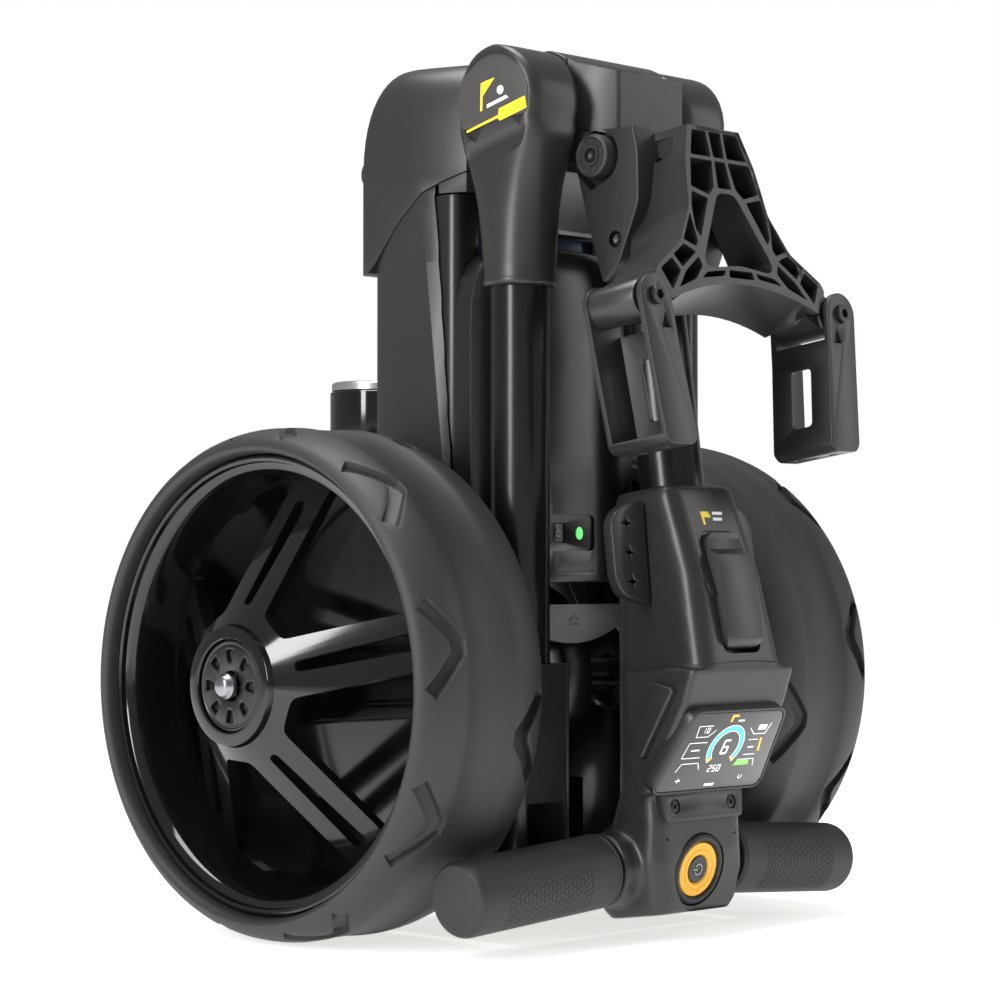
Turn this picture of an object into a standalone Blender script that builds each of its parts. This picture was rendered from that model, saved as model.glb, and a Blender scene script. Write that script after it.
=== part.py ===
"""Electric golf trolley, folded and standing on its two drive wheels.

Frame: metres, +Z up, ground at z = 0, the wheel axle along X above y = 0, the handle side at -Y.
The folded stem leans from the fold hinge, so everything that folds with it is modelled in the
hinge's own frame (stem_frame): its origin is the hinge line and its -Z runs down the stem.
"""
import math

import bmesh
import bpy
from mathutils import Matrix, Vector

# clearances
GAP = 0.0004
# drive wheels
WHEEL_RADIUS = 0.145
TYRE_INNER_X, TYRE_OUTER_X = 0.098, 0.193
RIM_RADIUS = 0.129
BARREL_RADIUS = 0.122
RIM_FACE_X = 0.185
HUB_FACE_X = 0.2085
SPOKE_COUNT = 5
SPOKE_START = math.radians(90 + 3.4)
AXLE_RADIUS = 0.008
# fold hinge, its knuckles and the stem
KNUCKLE_INNER_X, KNUCKLE_OUTER_X = 0.0436, 0.0865
KNUCKLE_RADIUS = 0.0320
FOLD_PIN_BORE = 0.0063
BADGE_SEAT_RADIUS = 0.0265
PIVOT = Vector((0.0, -0.085, 0.476))
STEM_LEAN = math.radians(8)
STEM_TUBE_Y = -0.0292
STEM_TUBE_RADIUS = 0.0185
# twin frame tubes
FRAME_TUBE_X, FRAME_TUBE_Y, FRAME_TUBE_RADIUS = 0.065, -0.087, 0.017
# bag arms, in the stem frame
ARM_BOLT = Vector((0.081, -0.0985, -0.134))
# handle, in the stem frame
DIAL = Vector((0.0, -0.0175, -0.4428))
DIAL_TILT = math.radians(20)
GRIP_INNER = Vector((0.0520, 0.0116, -0.4378))
GRIP_OUTER = Vector((0.1600, 0.0151, -0.4452))
GRIP_RADIUS = 0.021
GRIP_BAR_RADIUS = 0.0205
DIAL_SEAT_RADIUS = 0.0212
DIAL_SEAT_DEPTH = 0.0120
# height lever, in the stem frame
LEVER_HINGE = Vector((0.0, -0.0655, -0.3200))
LEVER_HALF_WIDTH = 0.0130
# drive train
IDLER_Y, IDLER_Z = 0.055, 0.190
MOTOR_Y = 0.100
MOTOR_RADIUS = 0.0250
MOTOR_TOP = 0.328
AXLE_TEETH, IDLER_TEETH = 36, 9
GEAR_CENTRES = math.hypot(IDLER_Y, IDLER_Z - WHEEL_RADIUS)
# front wheel, folded behind the body
FORK_PIVOT = Vector((0.0, 0.047, 0.450))
FRONT_CENTRE = Vector((0.0, 0.1358, 0.080))
FRONT_RADIUS = 0.080

for leftover in list(bpy.data.objects):
    bpy.data.objects.remove(leftover, do_unlink=True)

FINISHES = {
    "satin plastic": ((0.030, 0.029, 0.028), 0.42, 0.0),
    "gloss plastic": ((0.010, 0.010, 0.011), 0.10, 0.0),
    "soft rubber": ((0.022, 0.022, 0.021), 0.75, 0.0),
    "tyre rubber": ((0.028, 0.028, 0.027), 0.62, 0.0),
    "painted tube": ((0.020, 0.016, 0.015), 0.28, 0.6),
    "grey plastic": ((0.42, 0.41, 0.39), 0.50, 0.0),
    "fleck plastic": ((0.10, 0.10, 0.095), 0.50, 0.2),
    "steel": ((0.55, 0.55, 0.56), 0.28, 1.0),
    "bronze": ((0.45, 0.30, 0.14), 0.35, 1.0),
    "screen glass": ((0.006, 0.006, 0.008), 0.06, 0.0),
    "yellow": ((0.90, 0.42, 0.02), 0.40, 0.0),
    "circuit board": ((0.02, 0.16, 0.06), 0.45, 0.0),
}


def empty(name, location, tilt=0.0):
    """An axis marker that pieces hang from."""
    marker = bpy.data.objects.new(name, None)
    bpy.context.scene.collection.objects.link(marker)
    marker.location = location
    marker.rotation_euler.x = tilt
    return marker


STEM_FRAME = empty("stem_frame", PIVOT, -STEM_LEAN)


def piece(name, mesh, finish, frame=None, origin=(0, 0, 0), sharp=32):
    """Turn a bmesh into a named object whose origin is a point of its frame."""
    bmesh.ops.translate(mesh, verts=mesh.verts, vec=-Vector(origin))
    data = bpy.data.meshes.new(name)
    mesh.to_mesh(data)
    mesh.free()
    data.shade_smooth()
    data.set_sharp_from_angle(angle=math.radians(sharp))
    thing = bpy.data.objects.new(name, data)
    bpy.context.scene.collection.objects.link(thing)
    thing.location = origin
    thing.parent = frame
    colour, roughness, metallic = FINISHES[finish]
    material = bpy.data.materials.new(name)
    material.use_nodes = True
    shader = material.node_tree.nodes["Principled BSDF"]
    shader.inputs["Base Color"].default_value = (*colour, 1)
    shader.inputs["Roughness"].default_value = roughness
    shader.inputs["Metallic"].default_value = metallic
    data.materials.append(material)
    return thing


def tool(mesh, frame=None):
    """A hidden solid that a Boolean reads."""
    data = bpy.data.meshes.new("tool")
    mesh.to_mesh(data)
    mesh.free()
    thing = bpy.data.objects.new("tool", data)
    bpy.context.scene.collection.objects.link(thing)
    thing.parent = frame
    thing.hide_render = True
    thing.display_type = 'WIRE'
    return thing


def combine(thing, operation, *meshes):
    """Cut or join solids, given in the thing's frame, with exact Booleans."""
    for mesh in meshes:
        step = thing.modifiers.new(operation.lower(), 'BOOLEAN')
        step.operation = operation
        step.solver = 'EXACT'
        step.object = tool(mesh, thing.parent)


def soften(thing, width, segments=2, angle=40):
    """Round the edges, before any Boolean that follows."""
    step = thing.modifiers.new("round", 'BEVEL')
    step.width = width
    step.segments = segments
    step.limit_method = 'ANGLE'
    step.angle_limit = math.radians(angle)


def skin(rings, capped=True, looped=False):
    """A closed surface over rings that have equal point counts."""
    mesh = bmesh.new()
    loops = [[mesh.verts.new(point) for point in ring] for ring in rings]
    pairs = list(zip(loops, loops[1:]))
    if looped:
        pairs.append((loops[-1], loops[0]))
    for near, far in pairs:
        for i in range(len(near)):
            j = (i + 1) % len(near)
            mesh.faces.new((near[i], near[j], far[j], far[i]))
    if capped:
        mesh.faces.new(loops[0][::-1])
        mesh.faces.new(loops[-1])
    bmesh.ops.recalc_face_normals(mesh, faces=mesh.faces)
    return mesh


def prism(outline, axis, low, high):
    """An outline in the plane across an axis, given depth along it."""
    spread = {'X': lambda a, b, t: (t, a, b),
              'Y': lambda a, b, t: (a, t, b),
              'Z': lambda a, b, t: (a, b, t)}[axis]
    return skin([[spread(a, b, t) for a, b in outline] for t in (low, high)])


def box(low, high):
    """A block between two corners."""
    outline = [(low[0], low[1]), (high[0], low[1]), (high[0], high[1]), (low[0], high[1])]
    return prism(outline, 'Z', low[2], high[2])


def arc(centre, radius, start, end, steps):
    """Points of an arc, angles in degrees, both ends included."""
    return [(centre[0] + radius * math.cos(math.radians(start + (end - start) * i / steps)),
             centre[1] + radius * math.sin(math.radians(start + (end - start) * i / steps)))
            for i in range(steps + 1)]


def rounded(half_x, low_y, high_y, radius, steps=4):
    """A rectangle centred across X with round corners."""
    x, low, high = half_x - radius, low_y + radius, high_y - radius
    return (arc((x, low), radius, -90, 0, steps) + arc((x, high), radius, 0, 90, steps)
            + arc((-x, high), radius, 90, 180, steps) + arc((-x, low), radius, 180, 270, steps))


def turned(profile, axis='X', centre=(0, 0, 0), steps=32, start=0.0, ring=False):
    """Turn (radius, along) points round an axis; a ring's profile closes on itself."""
    across = {'X': (Vector((0, 1, 0)), Vector((0, 0, 1)), Vector((1, 0, 0))),
              'Y': (Vector((1, 0, 0)), Vector((0, 0, 1)), Vector((0, 1, 0))),
              'Z': (Vector((1, 0, 0)), Vector((0, 1, 0)), Vector((0, 0, 1)))}[axis]
    rings = []
    for radius, along in profile:
        rings.append([Vector(centre) + across[2] * along
                      + across[0] * radius * math.cos(start + math.tau * i / steps)
                      + across[1] * radius * math.sin(start + math.tau * i / steps)
                      for i in range(steps)])
    return skin(rings, capped=not ring, looped=ring)


def rod(start, end, radius, steps=24, end_radius=None):
    """A round bar, or a cone, between two points."""
    start, end = Vector(start), Vector(end)
    turn = (end - start).to_track_quat('Z', 'X').to_matrix()
    rings = [[centre + turn @ Vector((size * math.cos(math.tau * i / steps),
                                      size * math.sin(math.tau * i / steps), 0))
              for i in range(steps)]
             for centre, size in ((start, radius), (end, radius if end_radius is None else end_radius))]
    return skin(rings)


def tubular(points, radius, steps=12):
    """A bar of constant radius along a bent route."""
    points = [Vector(point) for point in points]
    rings = []
    for i, point in enumerate(points):
        before, after = points[max(i - 1, 0)], points[min(i + 1, len(points) - 1)]
        turn = (after - before).to_track_quat('Z', 'X').to_matrix()
        rings.append([point + turn @ Vector((radius * math.cos(math.tau * k / steps),
                                             radius * math.sin(math.tau * k / steps), 0))
                      for k in range(steps)])
    return skin(rings)


def several(meshes):
    """Merge separate solids into one mesh, for use as a single tool."""
    total = bmesh.new()
    for mesh in meshes:
        data = bpy.data.meshes.new("part of tool")
        mesh.to_mesh(data)
        mesh.free()
        total.from_mesh(data)
        bpy.data.meshes.remove(data)
    return total


def along_side(points, side):
    """Mirror an outline's first coordinate to the given side."""
    return [(side * a, b) for a, b in points]


# ---------------------------------------------------------------- drive wheels
def spoke_gaps(side):
    """The five wide gaps and five slots that leave five double spokes in the rim's cone."""
    half, edge, flank = 0.0165, 0.1150, 0.0400
    solids = []
    for n in range(SPOKE_COUNT):
        turn = SPOKE_START + math.tau * n / SPOKE_COUNT
        next_turn = turn + math.tau / SPOKE_COUNT

        def at(angle, along, across):
            return (math.cos(angle) * along - math.sin(angle) * across,
                    math.sin(angle) * along + math.cos(angle) * across)

        slot = [at(turn, 0.0450, -0.0030), at(turn, 0.1035, -0.0050),
                at(turn, 0.1035, 0.0050), at(turn, 0.0450, 0.0030)]
        swing = math.asin(half / edge)
        wide = arc((0, 0), edge, math.degrees(turn + swing), math.degrees(next_turn - swing), 4)
        wide += [at(next_turn, flank, -half), at(turn, flank, half)]
        low, high = sorted((side * 0.1280, side * 0.2150))
        solids += [prism(slot, 'X', low, high), prism(wide, 'X', low, high)]
    return solids


def drive_wheel(side, label):
    """Tyre, dished rim with double spokes, hub cap and bolt, all turning on the axle."""
    axis = empty(f"{label}_wheel_axis", (0, 0, WHEEL_RADIUS))
    bore = AXLE_RADIUS + GAP

    def lathe(profile, steps=36):
        return turned([(radius, side * x) for radius, x in profile], 'X', steps=steps, ring=True)

    piece(f"{label}_tyre", lathe([
        (RIM_RADIUS + GAP, 0.1865), (0.1335, TYRE_OUTER_X), (0.1385, 0.1905), (0.1420, 0.1850),
        (WHEEL_RADIUS, 0.1720), (WHEEL_RADIUS, 0.1190), (0.1420, 0.1060), (0.1385, 0.1005),
        (0.1335, TYRE_INNER_X), (BARREL_RADIUS + GAP, 0.1010), (BARREL_RADIUS + GAP, 0.1784),
        (RIM_RADIUS + GAP, 0.1794)]), "tyre rubber", axis)

    rim = piece(f"{label}_rim", lathe([
        (BARREL_RADIUS, 0.1015), (BARREL_RADIUS, 0.1790), (RIM_RADIUS, 0.1800),
        (RIM_RADIUS, RIM_FACE_X), (0.1245, RIM_FACE_X), (0.1190, 0.1720), (0.1165, 0.1500),
        (0.0345, 0.2045), (0.0330, HUB_FACE_X), (0.0262, HUB_FACE_X), (0.0262, 0.2010),
        (bore, 0.2010), (bore, 0.1015), (0.0240, 0.1015), (0.0240, 0.1930), (0.0330, 0.1975),
        (0.1165, 0.1430), (0.1165, 0.1015)]), "gloss plastic", axis)
    combine(rim, 'DIFFERENCE', several(spoke_gaps(side)))
    combine(rim, 'UNION', lathe([(0.0200, 0.1035), (0.1190, 0.1035), (0.1190, 0.1065), (0.0200, 0.1065)]))

    cap = piece(f"{label}_hub_cap", lathe([
        (0.0085, 0.2014), (0.0085, 0.2068), (0.0245, 0.2068),
        (0.0257, 0.2055), (0.0257, 0.2014)], 24), "satin plastic", axis)
    pockets = []
    for n in range(8):
        y, z = 0.0172 * math.cos(math.tau * n / 8), 0.0172 * math.sin(math.tau * n / 8)
        pockets.append(rod((side * 0.2035, y, z), (side * 0.2100, y, z), 0.0032, 6))
    combine(cap, 'DIFFERENCE', several(pockets))
    piece(f"{label}_hub_bolt", turned([
        (0.0040, side * 0.1965), (0.0040, side * 0.2075), (0.0070, side * 0.2080),
        (0.0070, side * 0.2120), (0.0050, side * 0.2145), (0.0020, side * 0.2150)],
        'X', steps=12), "steel", axis)


# ---------------------------------------------------------------- axle, gears and motor
def gear(teeth, pitch_radius, depth, low, high, bore, phase=0.0):
    """A spur gear across X with flat-topped teeth that leave backlash."""
    outline = []
    for n in range(teeth):
        for share, radius in ((-0.30, -depth * 0.6), (-0.13, depth * 0.4), (0.13, depth * 0.4), (0.30, -depth * 0.6)):
            angle = phase + math.tau * (n + share) / teeth
            outline.append(((pitch_radius + radius) * math.cos(angle), (pitch_radius + radius) * math.sin(angle)))
    return prism(outline, 'X', low, high)


def drive_train():
    """Axle with its large gear, the idler between, and the motor's shaft with its worm."""
    axis = empty("axle_axis", (0, 0, WHEEL_RADIUS))
    axle = piece("axle_shaft", turned([(AXLE_RADIUS, -0.1960), (AXLE_RADIUS, 0.1960)], 'X', steps=24), "steel", axis)
    for side in (-1, 1):
        combine(axle, 'DIFFERENCE', rod((side * 0.1900, 0, 0), (side * 0.2000, 0, 0), 0.0044, 16))
    axle_pitch = GEAR_CENTRES * AXLE_TEETH / (AXLE_TEETH + IDLER_TEETH)
    idler_pitch = GEAR_CENTRES - axle_pitch
    towards = math.atan2(IDLER_Z - WHEEL_RADIUS, IDLER_Y)
    wheel = piece("axle_gear", gear(AXLE_TEETH, axle_pitch, 0.0030, 0.0100, 0.0200, 0, towards), "bronze", axis)
    combine(wheel, 'DIFFERENCE', rod((0, 0, 0), (0.0300, 0, 0), AXLE_RADIUS + GAP, 24))
    idler_axis = empty("idler_axis", (0, IDLER_Y, IDLER_Z))
    idler = piece("idler_gear", gear(IDLER_TEETH, idler_pitch, 0.0030, 0.0095, 0.0205, 0,
                                     towards + math.pi + math.pi / IDLER_TEETH), "steel", idler_axis)
    combine(idler, 'UNION', turned([(0.0050, -0.0230), (0.0050, 0.0230)], 'X', steps=16),
            gear(18, MOTOR_Y - IDLER_Y - 0.0090, 0.0030, -0.0040, 0.0040, 0))
    motor_axis = empty("motor_axis", (0, MOTOR_Y, IDLER_Z))
    shaft = piece("motor_rotor", turned([
        (0.0035, -0.0190), (0.0035, 0.0430), (0.0040, 0.0440), (0.0160, 0.0460), (0.0160, 0.1180),
        (0.0040, 0.1200), (0.0040, 0.1300)], 'Z', steps=16), "steel", motor_axis)
    turns, per_turn, rise = 3, 10, 0.0080
    thread = []
    for i in range(turns * per_turn + 1):
        angle, z = math.tau * i / per_turn, -0.0120 + rise * i / per_turn
        out = Vector((math.cos(angle), math.sin(angle), 0))
        thread.append([out * 0.0025 + Vector((0, 0, z - 0.0016)), out * 0.0068 + Vector((0, 0, z - 0.0006)),
                       out * 0.0068 + Vector((0, 0, z + 0.0006)), out * 0.0025 + Vector((0, 0, z + 0.0016))])
    combine(shaft, 'UNION', skin(thread))
    piece("motor_can", turned([
        (0.0050, 0.2300), (MOTOR_RADIUS - 0.002, 0.2300), (MOTOR_RADIUS, 0.2320),
        (MOTOR_RADIUS, MOTOR_TOP - 0.0066), (0.0200, MOTOR_TOP - 0.0066), (0.0200, 0.2330), (0.0050, 0.2330)],
        'Z', (0, MOTOR_Y, 0), steps=28, ring=True), "gloss plastic")
    piece("motor_end_cap", turned([
        (0.0235, MOTOR_TOP - 0.0062), (0.0235, MOTOR_TOP - 0.0006), (0.0228, MOTOR_TOP), (0.0190, MOTOR_TOP),
        (0.0180, MOTOR_TOP - 0.0015), (0.0045, MOTOR_TOP - 0.0015), (0.0045, MOTOR_TOP - 0.0062)],
        'Z', (0, MOTOR_Y, 0), steps=28, ring=True), "steel")


def gearbox():
    """Two deep halves that meet at x = 0 round the gears."""
    radius, wall, cover_x = 0.0625, 0.0030, 0.0250
    hull = arc((0, WHEEL_RADIUS), radius, 80, 320, 10) + [
        (0.0850, 0.1560), (0.1180, 0.1640), (0.1180, 0.2290), (0.0740, 0.2290), (0.0640, 0.2340),
        (0.0400, 0.2340), (0.0150, 0.2250)]
    inner = arc((0, WHEEL_RADIUS), radius - wall, 80, 320, 10) + [
        (0.0840, 0.1595), (0.1150, 0.1665), (0.1150, 0.2260), (0.0735, 0.2260), (0.0630, 0.2310),
        (0.0405, 0.2310), (0.0165, 0.2220)]
    for side, label in ((-1, "left"), (1, "right")):
        low, high = sorted((side * GAP / 2, side * cover_x))
        half = piece(f"gearbox_{label}_half", prism(hull, 'X', low, high), "satin plastic")
        soften(half, 0.0030, 2, 60)
        low, high = sorted((-side * 0.01, side * (cover_x - wall)))
        combine(half, 'DIFFERENCE', prism(inner, 'X', low, high),
                rod((0, 0, WHEEL_RADIUS), (side * 0.04, 0, WHEEL_RADIUS), AXLE_RADIUS + GAP, 24),
                rod((0, MOTOR_Y, 0.20), (0, MOTOR_Y, 0.24), 0.0080, 20),
                rod((0, IDLER_Y, IDLER_Z), (side * 0.0235, IDLER_Y, IDLER_Z), 0.0054, 16))


# ---------------------------------------------------------------- frame, sockets, feet
def frame():
    """Base plate on feet, two tube sockets, two tubes, and the fold knuckles with their pin."""
    base = piece("base_plate", box((-0.0880, -0.1070, 0.0200), (0.0880, 0.0300, 0.0390)), "satin plastic")
    soften(base, 0.0040)
    combine(base, 'UNION', box((-0.0260, -0.0520, 0.0300), (0.0260, 0.0160, 0.0850)))
    combine(base, 'DIFFERENCE', turned([(0.0630, -0.05), (0.0630, 0.05)], 'X', (0, 0, WHEEL_RADIUS), steps=48))
    for side, label in ((-1, "left"), (1, "right")):
        x = side * FRAME_TUBE_X
        low, high = sorted((side * 0.0425, side * 0.0875))
        socket = piece(f"{label}_tube_socket", box((low, -0.1070, 0.0394), (high, -0.0640, 0.1560)), "satin plastic")
        soften(socket, 0.0040)
        combine(socket, 'DIFFERENCE',
                rod((x, FRAME_TUBE_Y, 0.1000), (x, FRAME_TUBE_Y, 0.1700), FRAME_TUBE_RADIUS + GAP, 20),
                box((x - 0.0150, -0.1200, 0.0450), (x + 0.0150, -0.0700, 0.0780)))
        piece(f"{label}_frame_tube", turned([
            (FRAME_TUBE_RADIUS, 0.1005), (FRAME_TUBE_RADIUS, 0.3995), (FRAME_TUBE_RADIUS - 0.002, 0.3995),
            (FRAME_TUBE_RADIUS - 0.002, 0.1005)], 'Z', (x, FRAME_TUBE_Y, 0), steps=20, ring=True), "painted tube")
        knuckle(side, label)
        foot = piece(f"{label}_foot", box((min(side * 0.060, side * 0.088), -0.0950, 0.0),
                                         (max(side * 0.060, side * 0.088), -0.0350, 0.0196)), "soft rubber")
        soften(foot, 0.0030)
    piece("fold_pin", turned([(0.0060, -0.0835), (0.0060, 0.0835)], 'X', PIVOT, steps=20), "steel")


def knuckle(side, label):
    """Hinge knuckle: a round boss across the fold line over a neck that holds the frame tube."""
    x = side * FRAME_TUBE_X
    face = side * KNUCKLE_OUTER_X
    edge = side * (KNUCKLE_OUTER_X - 0.0040)
    boss = turned([(KNUCKLE_RADIUS - 0.001, side * KNUCKLE_INNER_X), (KNUCKLE_RADIUS, side * (KNUCKLE_INNER_X + 0.0015)),
                   (KNUCKLE_RADIUS, edge), (KNUCKLE_RADIUS - 0.0040, face)], 'X', PIVOT, steps=32)
    body = piece(f"{label}_knuckle", boss, "satin plastic")
    neck_rings = []
    for z, half_x, half_y in ((0.3710, 0.0205, 0.0205), (0.3740, 0.0215, 0.0215), (0.4000, 0.0214, 0.0222),
                              (0.4300, 0.0213, 0.0250), (0.4560, 0.0212, 0.0300), (0.4700, 0.0212, 0.0310)):
        neck_rings.append([(x + half_x * math.copysign(abs(math.cos(a)) ** 0.8, math.cos(a)),
                            FRAME_TUBE_Y + 0.002 * (z - 0.371) / 0.1 + half_y * math.sin(a), z)
                           for a in [math.tau * i / 20 for i in range(20)]])
    combine(body, 'UNION', skin(neck_rings))
    combine(body, 'DIFFERENCE',
            rod((x, FRAME_TUBE_Y, 0.3600), (x, FRAME_TUBE_Y, 0.4000), FRAME_TUBE_RADIUS + GAP, 20),
            turned([(FOLD_PIN_BORE, -0.0840), (FOLD_PIN_BORE, 0.0840)], 'X', PIVOT, steps=20),
            turned([(BADGE_SEAT_RADIUS, side * (KNUCKLE_OUTER_X - 0.0020)),
                    (BADGE_SEAT_RADIUS, side * (KNUCKLE_OUTER_X + 0.01))], 'X', PIVOT, steps=32))


# ---------------------------------------------------------------- body, battery and hood
def body_rings(heights, inset=0.0):
    """Level sections of the tall body, drawn in towards its top."""
    rings = []
    for z in heights:
        rise = min(max((z - 0.440) / 0.064, 0.0), 1.0)
        draw = 1 - math.sqrt(max(1 - rise ** 2.6, 0.0))
        half = 0.0750 - 0.022 * draw - inset
        front, back = -0.0440 + 0.016 * draw + inset, 0.0370 - 0.022 * draw - inset
        radius = 0.018 - 0.6 * inset
        rings.append([(x, y, z) for x, y in rounded(half, front, back, radius, 4)])
    return rings


def body():
    """Rear shell behind the battery, its hood above a slanting seam, battery and controls."""
    seam = [(-0.0700, 0.4460), (-0.0440, 0.4420), (-0.0143, 0.4308), (0.0028, 0.4152), (0.0280, 0.3868),
            (0.0600, 0.3500)]
    above = seam + [(0.0600, 0.5300), (-0.0700, 0.5300)]
    below = [(a, b + GAP) for a, b in seam] + [(0.0600, 0.1000), (-0.0700, 0.1000)]
    shell = piece("rear_shell", skin(body_rings([0.2420, 0.3400, 0.4480])), "satin plastic")
    combine(shell, 'DIFFERENCE', prism(above, 'X', -0.1, 0.1),
            skin(body_rings([0.2450, 0.3400, 0.4600], 0.0030)),
            box((-0.0700, -0.0600, 0.2300), (0.0700, 0.0050, 0.4300)))
    hood = piece("hood", skin(body_rings([0.3600, 0.4400, 0.4600, 0.4800, 0.4930, 0.5010, 0.5040])), "satin plastic")
    combine(hood, 'DIFFERENCE', prism(below, 'X', -0.1, 0.1),
            skin(body_rings([0.3000, 0.4400, 0.4600, 0.4800, 0.4900, 0.4960], 0.0030)))
    lug = arc((FORK_PIVOT.y, FORK_PIVOT.z), 0.0095, -90, 90, 8) + [(0.0300, 0.4700), (0.0300, 0.4300)]
    for low in (-0.0560, 0.0500):
        combine(hood, 'UNION', prism(lug, 'X', low, low + 0.0060))
    combine(hood, 'DIFFERENCE', turned([(0.0054, -0.07), (0.0054, 0.07)], 'X', FORK_PIVOT, steps=20))
    board = piece("control_board", box((-0.0500, 0.0100, 0.3000), (0.0500, 0.0116, 0.4000)), "circuit board")
    combine(board, 'UNION', box((-0.0300, 0.0050, 0.3200), (-0.0050, 0.0110, 0.3450)),
            box((0.0100, 0.0060, 0.3500), (0.0300, 0.0110, 0.3800)))

    case = piece("battery_case", skin([[(x, y, z) for x, y in rounded(0.0690, -0.0390, 0.0040, 0.008, 3)]
                                       for z in (0.2130, 0.4290)]), "satin plastic")
    combine(case, 'DIFFERENCE', box((-0.0660, -0.0360, 0.2160), (0.0660, 0.0010, 0.4260)),
            box((-0.0500, -0.0500, 0.2250), (0.0500, -0.0200, 0.4100)))
    cells = piece("battery_cells", box((-0.0640, -0.0340, 0.2180), (0.0640, -0.0010, 0.4240)), "grey plastic")
    soften(cells, 0.0020)
    crown = []
    for z, grow in ((0.2020, -0.003), (0.2060, 0.0), (0.2800, 0.0), (0.3600, 0.0), (0.3900, -0.003), (0.4000, -0.012)):
        half = 0.0700 + grow
        front = [(half * (1 - 2 * i / 10), -0.0520 - 0.0190 * (1 - (1 - 2 * i / 10) ** 2) ** 0.8) for i in range(11)]
        crown.append([(x, y, z) for x, y in front + [(-half, -0.0394), (half, -0.0394)]])
    cover = piece("battery_cover", skin(crown), "satin plastic")
    combine(cover, 'DIFFERENCE', box((-0.0660, -0.0500, 0.2060), (0.0660, -0.0300, 0.3860)),
            box((-0.0220, -0.0800, 0.2215), (0.0150, -0.0680, 0.2405)),
            box((-0.0185, -0.0780, 0.2250), (-0.0085, -0.0620, 0.2370)))
    button = piece("power_button", box((-0.0181, -0.0685, 0.2254), (-0.0089, -0.0645, 0.2366)), "satin plastic")
    soften(button, 0.0008)
    plate = piece("release_plate", prism(
        [(-0.0470, 0.1890), (0.0470, 0.1890), (0.0470, 0.1700)] + arc((0, 0.2500), 0.0840, -66, -114, 8)
        + [(-0.0470, 0.1700)], 'Y', -0.0680, -0.0640), "fleck plastic")
    soften(plate, 0.0008)


# ---------------------------------------------------------------- stem: block, tube, bag bracket, arms
def stem():
    """Everything that folds with the handle, in the hinge's frame."""
    frame = STEM_FRAME
    world_outline = [(-0.0620, 0.5030), (-0.0890, 0.5105), (-0.1050, 0.5015), (-0.1490, 0.4900),
                     (-0.1520, 0.4650), (-0.1570, 0.4440), (-0.1575, 0.4160), (-0.1430, 0.3820),
                     (-0.1310, 0.3700), (-0.1180, 0.4100), (-0.1090, 0.4420), (-0.0850, 0.4440), (-0.0560, 0.4700)]
    turn = Matrix.Rotation(STEM_LEAN, 2)
    outline = [tuple(turn @ (Vector(point) - PIVOT.yz)) for point in world_outline]
    block = piece("hinge_block", prism(outline, 'X', -0.0430, 0.0430), "satin plastic", frame)
    soften(block, 0.0030)
    tube_top = -0.0700
    combine(block, 'DIFFERENCE', turned([(0.0064, -0.05), (0.0064, 0.05)], 'X', steps=20),
            rod((0, STEM_TUBE_Y, -0.2), (0, STEM_TUBE_Y, tube_top + GAP), STEM_TUBE_RADIUS + GAP, 28))
    bumper_at = turn @ (Vector((-0.1270, 0.4440)) - PIVOT.yz)
    for side, label in ((-1, "left"), (1, "right")):
        low, high = side * 0.0340, side * 0.0500
        combine(block, 'DIFFERENCE', turned([(0.0150, low), (0.0150, high)], 'X', (0, *bumper_at), steps=28))
        piece(f"{label}_bumper", turned([
            (0.0125, side * 0.0344), (0.0125, side * 0.0480), (0.0110, side * 0.0495), (0.0060, side * 0.0495),
            (0.0050, side * 0.0480)], 'X', (0, *bumper_at), steps=20), "soft rubber", frame)
    piece("stem_tube", turned([
        (STEM_TUBE_RADIUS, -0.3560), (STEM_TUBE_RADIUS, tube_top), (STEM_TUBE_RADIUS - 0.002, tube_top),
        (STEM_TUBE_RADIUS - 0.002, -0.3560)], 'Z', (0, STEM_TUBE_Y, 0), steps=28, ring=True),
        "painted tube", frame)
    piece("fold_latch", prism(
        arc((-0.0060, -0.0560), 0.0190, -75, 85, 8) + arc((-0.0150, -0.0560), 0.0210, 60, -50, 6),
        'X', -0.0425, 0.0425), "grey plastic", frame, (0, -0.0043, -0.0380))
    bag_bracket()
    for side, label in ((-1, "left"), (1, "right")):
        bag_arm(side, label)


def bracket_front(z):
    """The bracket's ribbed front face leans a little more than the stem."""
    return -0.0851 + 0.1 * z


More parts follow.
